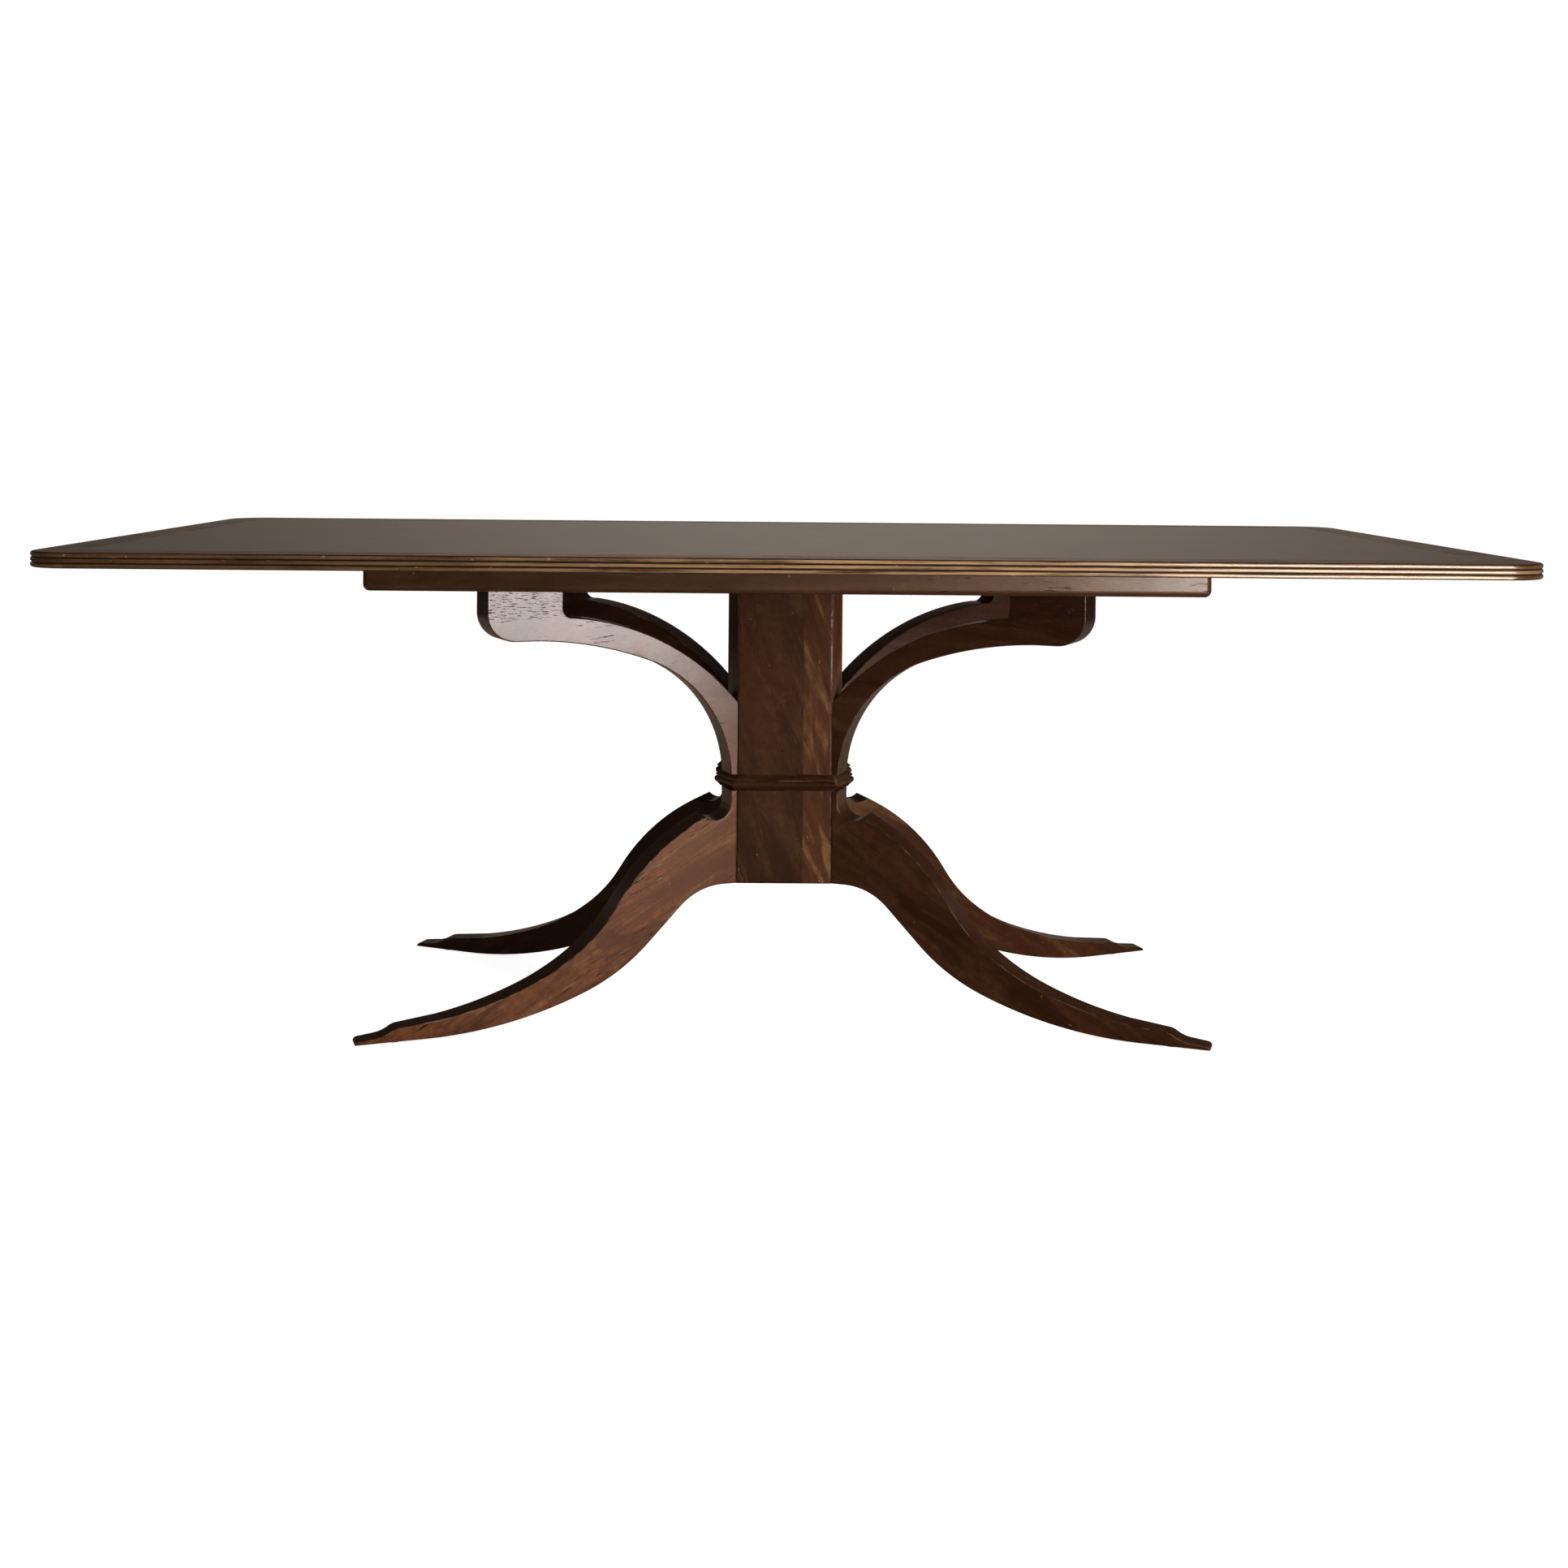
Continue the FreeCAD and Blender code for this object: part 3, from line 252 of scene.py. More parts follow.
@dataclass(frozen=True)
class Board:
    """How one board was cut: which way its grain runs, and from which part of the tree.

    turn is the rotation, in degrees about X, Y and Z, that brings the grain to X, and shift
    the part of the tree. flame is the share of light flames, shade the share of dark clouds,
    figure the contrast of the grain, cracked the share of small open cracks, crack_size how
    large they are, and rubbed how worn the edges are. Below the height worn_and_lit_above,
    when it is set, the pale edge fades to faint, which keeps a painted highlight above it.
    cheek is the way that the two flat cheeks of a rounded board face, and painted_top_shade
    the share of painted shade on the narrow faces between them. An eased board has slightly
    softened edges of radius ease, but none nearer to the middle of the table than joint. The
    grain of a wrapped board follows the rounded corner of the top.
    """

    turn: Triple = ORIGIN
    shift: Triple = ORIGIN
    tone: float = 1.0
    flame: float = 0.4
    shade: float = 0.5
    figure: float = 1.0
    cracked: float = 0.4
    crack_size: float = 1.0
    rubbed: float = 1.0
    worn_and_lit_above: float = 0.0
    cheek: Triple | None = None
    eased: bool = True
    ease: float = 0.0022
    joint: float = 0.0
    painted_top_shade: float = 0.5
    wrapped: bool = False


class Relief(Enum):
    """Where a board's own shape gets painted shade: nowhere, or in the grooves between reeds."""

    PLAIN = "plain"
    REEDED = "reeded"


@dataclass(frozen=True)
class Finish:
    """What a piece is made of and how its surface is treated."""

    name: str

    def material(self, label: str, board: Board) -> Material:
        """Make the material of one piece.

        Args:
            label: the piece's name.
            board: how the piece was cut.

        Returns:
            The material.
        """
        made = bpy.data.materials.new(f"{self.name}_{label}")
        self.paint(made, board)
        return made

    def paint(self, made: Material, board: Board) -> None:
        """Fill a new material with the finish's nodes, in each kind of finish its own."""
        raise NotImplementedError


@dataclass(frozen=True)
class WoodFinish(Finish):
    """Stained and polished wood with grain, pores, small cracks and worn edges."""

    deep: Colour
    warm: Colour
    light: Colour
    worn: Colour
    gloss: float
    polish: float
    polish_rough: float
    rough: float
    sheen_tint: Colour = (1.0, 0.52, 0.32)
    wear: float = 0.5
    ripple: float = 0.07
    grain_depth: float = 0.35
    relief: Relief = Relief.PLAIN

    def paint(self, made: Material, board: Board) -> None:
        """Fill the material with the wood's nodes."""
        Wood(made, self, board).finish_surface()


class Wood(Tree):
    """The nodes of one board's wood, with the colour that they have so far."""

    def __init__(self, made: Material, wood: WoodFinish, board: Board) -> None:
        """Lay the grain.

        Args:
            made: the material.
            wood: the finish.
            board: how the board was cut.
        """
        super().__init__(made)
        self.wood, self.board = wood, board
        self.place = self.make("ShaderNodeTexCoord", out="Object")
        self.facing = self.make("ShaderNodeNewGeometry", out="Normal")
        self.grain = self.make("ShaderNodeMapping", {
            "Vector": self.follow_corner() if board.wrapped else self.place,
            "Rotation": tuple(math.radians(a) for a in board.turn), "Location": board.shift})
        self.fine = self.noise(self.grain, FINE_LINES, 3.0, 0.6)
        self.streak = self.noise(self.grain, STREAKS, 4.0, 0.6, 0.35)
        self.crack = self.open_cracks()
        self.holes = self.band(self.noise(self.grain, PORES, 1.0, 0.5), 0.36, 0.46, 1.0, 0.0)
        self.colour: Socket | Colour = self.stain(1.0)

    def stain(self, share: float) -> Colour:
        """The board's darkest stain, lightened or darkened further by a share."""
        return toned(self.wood.deep, self.board.tone * share)

    def lay(self, share: Value, colour: Colour) -> None:
        """Lay a share of another colour over the colour so far."""
        self.colour = self.blend(share, self.colour, colour)

    def finish_surface(self) -> None:
        """Join the colour, the wear, the lacquer and the bumps in one shader."""
        wood = self.wood
        soft, edge = self.edges()
        self.stain_grain()
        self.darken_pores()
        self.paint_top_shade()
        wear, shaded_groove = self.rub(edge)
        # Lay the worn colour; on the reeds' crowns and a few pale edges it is partly a painted
        # highlight.
        self.lay(wear, wood.worn)
        height = self.plus(self.times(self.fine, 0.25), self.times(self.holes, -0.3),
                           self.times(self.crack, -1.6), self.times(self.streak, 0.35))
        dents = self.noise(self.place, 45.0, 4.0, 0.7)
        dips = self.plus(self.times(self.crack, -1.2), self.times(self.fine, wood.ripple),
                         self.times(dents, wood.ripple * 5.0))
        matt = self.band(self.noise(self.place, 14.0, 3.0, 0.6), 0.3, 0.7,
                         wood.rough - 0.04, wood.rough + 0.06)
        matt = self.plus(matt, self.times(self.crack, 0.3), self.times(shaded_groove, 0.6))
        self.shade({
            "Base Color": self.colour, "Roughness": matt,
            "Normal": self.bump(wood.grain_depth, 0.0006, height, Normal=soft),
            "Specular IOR Level": wood.gloss, "Specular Tint": rgba(wood.sheen_tint),
            "IOR": 1.5, "Coat Weight": wood.polish, "Coat Roughness": wood.polish_rough,
            "Coat IOR": 1.6, "Coat Normal": self.bump(0.5, 0.0008, dips, Normal=soft),
        })

    def stain_grain(self) -> None:
        """Lay the stain's colours along the grain."""
        wood, board = self.wood, self.board
        wide = self.noise(self.grain, WIDE_BANDS, 3.0, 0.55, 0.6)
        mixed = self.plus(self.times(wide, 0.9), self.times(self.streak, 0.75),
                          self.times(self.fine, 0.35))
        reach = 0.36 / board.figure
        self.lay(self.band(mixed, 1.0 - reach, 1.0 + reach), toned(wood.warm, board.tone))
        flames = self.band(self.noise(self.grain, FLAMES, 3.0, 0.5, 0.9), 0.50, 0.64)
        self.lay(self.times(flames, board.flame), toned(wood.light, board.tone))
        clouds = self.band(self.noise(self.grain, CLOUDS, 3.0, 0.62, 0.7), 0.50, 0.66)
        self.lay(self.times(clouds, board.shade), self.stain(0.55))
        mottle = self.band(self.noise(self.place, 70.0, 4.0, 0.7), 0.38, 0.62)
        self.lay(self.times(mottle, 0.6 * board.shade), self.stain(1.0))

    def open_cracks(self) -> Socket:
        """Find the short open cracks along the grain.

        Returns:
            How deep the wood is cracked, sloping to nothing at the crack's edges.
        """
        board = self.board
        cells = tuple(c / board.crack_size for c in CRACKS)
        sound = 0.655 - 0.045 * board.cracked
        dash = self.calc("SUBTRACT", self.noise(self.grain, cells, 2.0, 0.6), sound)
        rare = 0.68 - 0.3 * board.cracked
        spread = self.band(self.noise(self.grain, CRACKED_SPOTS), rare, rare + 0.1)
        return self.times(self.calc("MAXIMUM", dash, 0.0), 14.0, spread)

    def darken_pores(self) -> None:
        """Darken the pores and the open cracks."""
        self.lay(self.times(self.holes, 0.45), self.stain(0.3))
        open_part = self.calc("MINIMUM", self.times(self.crack, 2.5), 1.0)
        self.lay(open_part, toned(self.wood.deep, 0.1))

    def from_corner(self) -> Socket:
        """How far out along X and Y the surface is from the nearest rounded corner's centre."""
        out = self.vector("SUBTRACT", self.vector("ABSOLUTE", self.place), CORNER_CENTRE)
        return self.vector("MULTIPLY", self.vector("MAXIMUM", out), (1.0, 1.0, 0.0))

    def follow_corner(self) -> Socket:
        """Bend the grain round the top's corner.

        Returns:
            Coordinates along the curve, across it and up.
        """
        out = self.from_corner()
        turned = self.calc("ARCTAN2", self.axis(out, 1), self.axis(out, 0))
        return self.make("ShaderNodeCombineXYZ", {
            0: self.times(turned, CORNER_RADIUS), 1: self.vector("LENGTH", out),
            2: self.axis(self.place, 2)})

    def edges(self) -> tuple[Socket, Socket | float]:
        """Find the board's edges.

        Returns:
            The normal to shade with, and how near the surface is to an edge.
        """
        board, soft = self.board, self.facing
        reeded = self.wood.relief is Relief.REEDED
        if reeded:
            squashed = self.vector("MULTIPLY", self.facing, (1.0, 1.0, 0.38))
            soft = self.vector("NORMALIZE", squashed)
        elif board.eased:
            soft = self.make("ShaderNodeBevel", {"Radius": board.ease}, samples=4)
        if board.cheek:
            turned = self.turned_from_cheek()
            return soft, self.times(self.band(turned, 0.1, 0.4), self.band(turned, 0.97, 0.8))
        if reeded or not board.eased:
            return soft, 0.0
        if board.joint:
            along = self.calc("ABSOLUTE", self.axis(self.place, 0))
            soft = self.make("ShaderNodeMix", {
                "Factor_Float": self.calc("GREATER_THAN", along, board.joint),
                "A_Vector": self.facing, "B_Vector": soft}, "Result_Vector", data_type="VECTOR")
        return soft, self.band(self.vector("DOT_PRODUCT", soft, self.facing), 0.99, 0.86)

    def turned_from_cheek(self) -> Socket:
        """One on the board's two cheeks, zero on the narrow faces between them."""
        return self.calc("ABSOLUTE", self.vector("DOT_PRODUCT", self.facing, self.board.cheek))

    def paint_top_shade(self) -> None:
        """Paint shade on the narrow faces between a rounded board's two cheeks."""
        if self.board.cheek:
            # Painted shade: the narrow faces between the cheeks are darkened by the board's share.
            narrow = self.band(self.turned_from_cheek(), 0.15, 0.75, self.board.painted_top_shade, 0.0)
            self.lay(narrow, self.stain(0.3))

    def rub(self, edge: Value) -> tuple[Socket, Value]:
        """Find where the edges and a few chips are worn down to paler wood, and on reeded boards
        paint the crowns' highlight and the grooves' shade.

        Args:
            edge: how near the surface is to an edge.

        Returns:
            The share of worn wood, and where the grooves' painted shade is.
        """
        wood, board = self.wood, self.board
        rubbed = self.band(self.noise(self.place, 38.0, 3.0, 0.65), 0.44, 0.64)
        chip = self.band(self.noise(self.place, 85.0, 2.0, 0.6), 0.735, 0.76)
        wear = self.times(edge, rubbed, wood.wear * board.rubbed)
        # Below the height the pale edge fades to faint: a painted highlight kept where the light
        # falls.
        if board.worn_and_lit_above:
            wear = self.times(wear, self.band(self.axis(self.place, 2), board.worn_and_lit_above,
                                              board.worn_and_lit_above + 0.05, 0.12, 1.0))
        wear = self.calc("MAXIMUM", wear, self.times(chip, wood.wear * 0.7))
        if wood.relief is Relief.REEDED:
            return self.paint_reed_light_and_shade(wear)
        return wear, 0.0

    def paint_reed_light_and_shade(self, wear: Socket) -> tuple[Socket, Socket]:
        """Paint shade into the grooves between the reeds, and rub the reeds' crowns paler with a
        painted highlight.

        Args:
            wear: share of worn wood so far.

        Returns:
            The new share of worn wood, with the crowns' painted highlight, and where the grooves'
            painted shade is.
        """
        reach = self.vector("LENGTH", self.from_corner())
        rubbed = self.band(self.noise(self.grain, CROWN_RUBS, 4.0, 0.62), 0.36, 0.58)
        along = self.axis(self.place, 0)
        # Painted light: the crowns' pale wear grows from faint at the left end to full right of the
        # middle, where the lamps fall, and dims round the right-hand corners.
        painted_light_along = self.times(self.band(along, -0.85, 0.25, 0.18, 1.0),
                          self.band(along, 0.97, 1.06, 1.0, 0.35))
        crown = self.times(self.band(reach, *REED_CROWN), rubbed, painted_light_along, 0.85)
        chips = self.band(self.noise(self.grain, CROWN_CHIPS, 3.0, 0.6), 0.66, 0.70)
        wear = self.calc("MAXIMUM", self.calc("MAXIMUM", crown, wear), self.times(chips, 0.9))
        wear = self.times(wear, self.band(reach, *REED_FLANK, 0.08, 1.0))
        # Painted shade: the grooves between the reeds are darkened almost to black.
        shaded_groove = self.times(self.band(reach, *GROOVE_RIM, 1.0, 0.0),
                            self.band(reach, *GROOVE_BED))
        self.lay(self.times(shaded_groove, 0.97), toned(self.wood.deep, 0.04))
        return self.times(wear, self.calc("SUBTRACT", 1.0, shaded_groove)), shaded_groove


@dataclass(frozen=True)
class MetalFinish(Finish):
    """Plain zinc-plated steel, a little dull in places."""

    colour: Colour
    rough: float

    def paint(self, made: Material, board: Board) -> None:
        """Fill the material with the metal's nodes, the same for every board."""
        tree = Tree(made)
        grime = tree.noise(tree.make("ShaderNodeTexCoord", out="Object"), 300.0, 4.0, 0.6)
        tree.shade({
            "Base Color": tree.blend(tree.band(grime, 0.4, 0.7), self.colour,
                                     toned(self.colour, 0.55)),
            "Roughness": tree.band(grime, 0.3, 0.7, self.rough - 0.08, self.rough + 0.15),
            "Metallic": 1.0, "Normal": tree.bump(0.2, 0.0001, grime)})


@dataclass(frozen=True)
class FeltFinish(Finish):
    """Pressed wool felt with a fuzzy face."""

    colour: Colour

    def paint(self, made: Material, board: Board) -> None:
        """Fill the material with the felt's nodes, the same for every board."""
        tree = Tree(made)
        fibre = tree.noise(tree.make("ShaderNodeTexCoord", out="Object"), 900.0, 4.0, 0.7, 2.0)
        tree.shade({
            "Base Color": tree.blend(tree.band(fibre, 0.3, 0.7), toned(self.colour, 0.6),
                                     self.colour),
            "Roughness": 0.95, "Normal": tree.bump(0.6, 0.0004, fibre), "Sheen Weight": 0.4})


TOP_WOOD = WoodFinish("top_wood", (0.038, 0.014, 0.007), (0.110, 0.044, 0.019),
                      (0.180, 0.085, 0.034), (0.20, 0.12, 0.07), gloss=0.5, polish=1.0,
                      polish_rough=0.09, rough=0.35, wear=0.12, ripple=0.006)
# The reeds' pale worn colour is partly a painted highlight on their crowns.
REED_WOOD = WoodFinish("reed_wood", (0.052, 0.020, 0.008), (0.165, 0.074, 0.029),
                       (0.300, 0.155, 0.060), (0.70, 0.42, 0.20), gloss=1.0, polish=0.6,
                       polish_rough=0.16, rough=0.22, sheen_tint=(1.0, 0.84, 0.72), wear=0.9,
                       ripple=0.003, grain_depth=0.06, relief=Relief.REEDED)
FRAME_WOOD = WoodFinish("frame_wood", (0.060, 0.024, 0.010), (0.140, 0.060, 0.025),
                        (0.210, 0.105, 0.045), (0.40, 0.24, 0.12), gloss=1.0, polish=0.6,
                        polish_rough=0.20, rough=0.38, sheen_tint=(1.0, 0.66, 0.45), wear=0.6,
                        ripple=0.03)
BASE_WOOD = WoodFinish("base_wood", (0.036, 0.0105, 0.0042), (0.095, 0.032, 0.012),
                       (0.170, 0.080, 0.030), (0.40, 0.24, 0.14), gloss=0.5, polish=0.6,
                       polish_rough=0.14, rough=0.32, wear=0.7)
ARM_WOOD = WoodFinish("arm_wood", (0.036, 0.0115, 0.0050), (0.098, 0.034, 0.0145),
                      (0.150, 0.068, 0.030), (0.30, 0.17, 0.10), gloss=0.5, polish=0.85,
                      polish_rough=0.2, rough=0.34, wear=0.4, ripple=0.05)
INNER_WOOD = WoodFinish("inner_wood", (0.22, 0.13, 0.07), (0.42, 0.27, 0.15),
                        (0.50, 0.34, 0.20), (0.5, 0.35, 0.2), gloss=0.4, polish=0.0,
                        polish_rough=0.3, rough=0.6, sheen_tint=WHITE, wear=0.0)
DOWEL_WOOD = replace(INNER_WOOD, name="dowel_wood", deep=(0.45, 0.31, 0.18),
                     warm=(0.66, 0.49, 0.31), light=(0.74, 0.58, 0.40), worn=(0.7, 0.55, 0.38))
STEEL = MetalFinish("zinc_steel", (0.62, 0.61, 0.58), 0.32)
FELT = FeltFinish("wool_felt", (0.045, 0.035, 0.028))


class Smoother:
    """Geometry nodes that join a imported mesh's triangles and smooth its curved faces."""

    join_distance = 0.00001
    sharp_angle = math.radians(34.0)

    def __init__(self) -> None:
        """Build the tree once, with its sizes as named inputs."""
        self.group = bpy.data.node_groups.new("smooth_faces", "GeometryNodeTree")
        face = self.group.interface
        face.new_socket("Geometry", in_out="INPUT", socket_type="NodeSocketGeometry")
        self.gap, self.sharp = [
            face.new_socket(label, in_out="INPUT", socket_type="NodeSocketFloat").identifier
            for label in ("Join distance", "Sharp angle")]
        face.new_socket("Geometry", in_out="OUTPUT", socket_type="NodeSocketGeometry")
        tree = Tree(self.group)
        shape, gap, sharp = tree.add("NodeGroupInput").outputs[:3]
        shape = tree.make("GeometryNodeRemoveAttribute", {0: shape, "Name": "custom_normal"})
        shape = tree.make("GeometryNodeMergeByDistance", {"Geometry": shape, "Distance": gap})
        tree.add("NodeGroupOutput", {0: tree.smooth(shape, sharp)})

    def smooth(self, piece: bpy.types.Object) -> None:
        """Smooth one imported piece.

        Args:
            piece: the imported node's object.
        """
        live = piece.modifiers.new("smooth_faces", "NODES")
        live.node_group = self.group
        live[self.gap], live[self.sharp] = self.join_distance, self.sharp_angle
        even = piece.modifiers.new("even_normals", "WEIGHTED_NORMAL")
        even.mode, even.weight, even.keep_sharp = "FACE_AREA", 100, True


SMOOTHER = Smoother()


def dress(name: str, finish: Finish, board: Board) -> None:
    """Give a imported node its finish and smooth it.

    Args:
        name: the node.
        finish: the finish that it gets.
        board: how its grain runs.
    """
    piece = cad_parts[name]
    made = finish.material(name, board)
    for slot in piece.material_slots:
        slot.material = made
    SMOOTHER.smooth(piece)
    LOG.info("dressed %s in %s", name, finish.name)


def dress_row(names: tuple[str, ...], finish: Finish, first: Board, step: float,
              climb: float = 0.0) -> None:
    """Dress several nodes alike, each cut from another part of the tree.

    Args:
        names: the nodes.
        finish: the finish that they get.
        first: how the first one was cut.
        step: how far along X the next one was cut.
        climb: how far along Z it was cut.
    """
    x, y, z = first.shift
    for count, name in enumerate(names):
        dress(name, finish, replace(first, shift=(x + step * count, y, z + climb * count)))


class Works(Tree):
    """A geometry nodes tree that sets a pattern on every point of a piece."""

    sharp_angle = math.radians(32.0)

    def __init__(self, name: str, sizes: dict[str, float]) -> None:
        """Start the tree with its named inputs.

        Args:
            name: the tree's name.
            sizes: the value of each named input.
        """
        self.group = bpy.data.node_groups.new(name, "GeometryNodeTree")
        super().__init__(self.group)
        face = self.group.interface
        face.new_socket("Places", in_out="INPUT", socket_type="NodeSocketGeometry")
        self.sizes = sizes
        self.keys = {label: face.new_socket(label, in_out="INPUT",
                                            socket_type="NodeSocketFloat").identifier
                     for label in sizes}
        self.finish_key = face.new_socket("Finish", in_out="INPUT",
                                          socket_type="NodeSocketMaterial").identifier
        face.new_socket("Pieces", in_out="OUTPUT", socket_type="NodeSocketGeometry")
        start = self.add("NodeGroupInput")
        self.named = {label: start.outputs[label] for label in ("Places", *sizes, "Finish")}

    def move(self, shape: Socket, lift: Value, turn: Triple = ORIGIN) -> Socket:
        """Turn a shape, by radians about X, Y and Z, and lift it along Z."""
        up = self.make("ShaderNodeCombineXYZ", {2: lift})
        return self.make("GeometryNodeTransform", {"Geometry": shape, "Translation": up,
                                                   "Rotation": turn})

    def join(self, *shapes: Socket) -> Socket:
        """Put shapes together in one."""
        joined = self.add("GeometryNodeJoinGeometry")
        for shape in shapes:
            self.links.new(shape, joined.inputs[0])
        return joined.outputs[0]

    def cut(self, shape: Socket, tool: Socket) -> Socket:
        """Take the tool's space out of a shape."""
        return self.make("GeometryNodeMeshBoolean", {"Mesh 1": shape, "Mesh 2": tool},
                         "Mesh", operation="DIFFERENCE")

    def rod(self, sides: int, rings: int, radius: Value, length: Value, ease: Value = 0.0,
            both: bool = False, flutes: float = 0.0) -> Socket:
        """A turned rod from zero up to its length, with its far rim eased.

        Args:
            sides: how many sides it has round.
            rings: how many bands it has along.
            radius: its radius.
            length: its length.
            ease: how far the rim is taken in.
            both: whether the near rim is eased too.
            flutes: depth of the grooves along it, as a share of the radius.

        Returns:
            The rod.
        """
        raw = self.make("GeometryNodeMeshCylinder", {
            "Vertices": sides, "Side Segments": rings, "Radius": radius,
            "Depth": length}, "Mesh")
        spot = self.make("GeometryNodeInputPosition")
        across, along, up = (self.axis(spot, number) for number in range(3))
        half = self.times(length, 0.5)
        inner = self.calc("SUBTRACT", half, self.calc("DIVIDE", length, float(rings)))
        less = self.calc("SUBTRACT", 1.0, self.calc("DIVIDE", ease, radius))
        away = self.calc("ABSOLUTE", up) if both else up
        share = self.band(away, inner, half, 1.0, less)
        if flutes:
            wave = self.calc("COSINE", self.times(self.calc("ARCTAN2", along, across),
                                                  sides / 4.0))
            shaded_groove = self.times(self.calc("MAXIMUM", wave, 0.0), flutes)
            share = self.calc("SUBTRACT", share, shaded_groove)
        wide = self.make("ShaderNodeCombineXYZ", {0: share, 1: share, 2: 1.0})
        shaped = self.make("GeometryNodeSetPosition", {
            "Geometry": raw, "Position": self.vector("MULTIPLY", spot, wide)})
        return self.move(shaped, half)

    def thread(self, radius: Value, low: Value, high: Value, depth: float) -> Socket:
        """A screw thread wound round a shank at the tree's pitch.

        Args:
            radius: radius of its ridge's middle.
            low: where it starts.
            high: where it ends.
            depth: size of the ridge.

        Returns:
            The ridge.
        """
        tall = self.calc("SUBTRACT", high, low)
        coil = self.make("GeometryNodeCurveSpiral", {
            "Resolution": 14, "Rotations": self.calc("DIVIDE", tall, "Pitch"),
            "Start Radius": radius, "End Radius": radius, "Height": tall})
        ridge = self.make("GeometryNodeCurvePrimitiveCircle", {"Resolution": 4, "Radius": depth})
        wound = self.make("GeometryNodeCurveToMesh", {"Curve": coil, "Profile Curve": ridge,
                                                      "Fill Caps": True})
        return self.move(wound, low)

    def close(self, pattern: Socket) -> None:
        """Set the pattern on the points and finish it.

        Args:
            pattern: one piece, standing on its own origin.
        """
        turn = self.make("GeometryNodeInputNamedAttribute", {"Name": "turn"},
                         data_type="FLOAT_VECTOR")
        spread = self.make("GeometryNodeInstanceOnPoints", {
            "Points": "Places", "Instance": pattern,
            "Rotation": self.make("FunctionNodeEulerToRotation", {0: turn})})
        plain = self.make("GeometryNodeRealizeInstances", {0: spread})
        done = self.make("GeometryNodeSetMaterial", {
            "Geometry": self.smooth(plain, self.sharp_angle), "Material": "Finish"})
        self.add("NodeGroupOutput", {0: done})

    def set_out(self, name: str, places: list[Place],
                finish: Material) -> bpy.types.Object:
        """Run the tree on a set of places and keep the result as a plain mesh.

        Args:
            name: the new piece's name.
            places: where each pattern stands, and its rotation in radians.
            finish: its material.

        Returns:
            The new piece.
        """
        mesh = bpy.data.meshes.new(name)
        mesh.from_pydata([spot for spot, _ in places], [], [])
        turns = mesh.attributes.new("turn", "FLOAT_VECTOR", "POINT")
        for count, (_, turn) in enumerate(places):
            turns.data[count].vector = turn
        piece = stand(name, mesh)
        live = piece.modifiers.new(name, "NODES")
        live.node_group = self.group
        for label, key in self.keys.items():
            live[key] = self.sizes[label]
        live[self.finish_key] = finish
        view = bpy.context.evaluated_depsgraph_get()
        plain = bpy.data.meshes.new_from_object(piece.evaluated_get(view), depsgraph=view)
        piece.modifiers.clear()
        piece.data = plain
        LOG.info("made %s with %d faces", name, len(plain.polygons))
        return piece


@dataclass
class TableTop:
    """The flat top: one wide panel inside a reeded band."""

    def build(self) -> None:
        """Dress the panel, the four strips and the four corners."""
        dress("top_panel", TOP_WOOD,
              Board(shift=(0.4, 0.1, 0.0), flame=0.5, shade=0.5, figure=1.5, cracked=0.0))
        dress_row(("front_edge_strip", "rear_edge_strip"), REED_WOOD,
                  Board(shift=(0.0, 0.2, 0.1)), 1.3)
        dress_row(("right_edge_strip", "left_edge_strip"), REED_WOOD,
                  Board(ACROSS, (0.0, 0.5, 0.3)), 0.7)
        dress_row(tuple(f"{corner}_edge_corner" for corner in CORNERS), REED_WOOD,
                  Board(shift=(0.0, 0.3, 0.2), eased=False, wrapped=True), 0.9)


@dataclass
class SubFrame:
    """The low frame under the top, with the two bearers that cross it."""

    def build(self) -> None:
        """Dress the rails and the bearers."""
        dress_row(("front_rail", "rear_rail"), FRAME_WOOD,
                  Board(shift=(0.3, 0.7, 0.4), flame=0.35, shade=0.4, cracked=0.6), 0.9)
        dress_row(("right_end_rail", "left_end_rail"), FRAME_WOOD,
                  Board(ACROSS, (0.0, 0.4, 0.8)), 1.1)
        dress_row(("right_bearer", "left_bearer"), INNER_WOOD,
                  Board(ACROSS, (0.0, 0.2, 0.6)), 0.8)


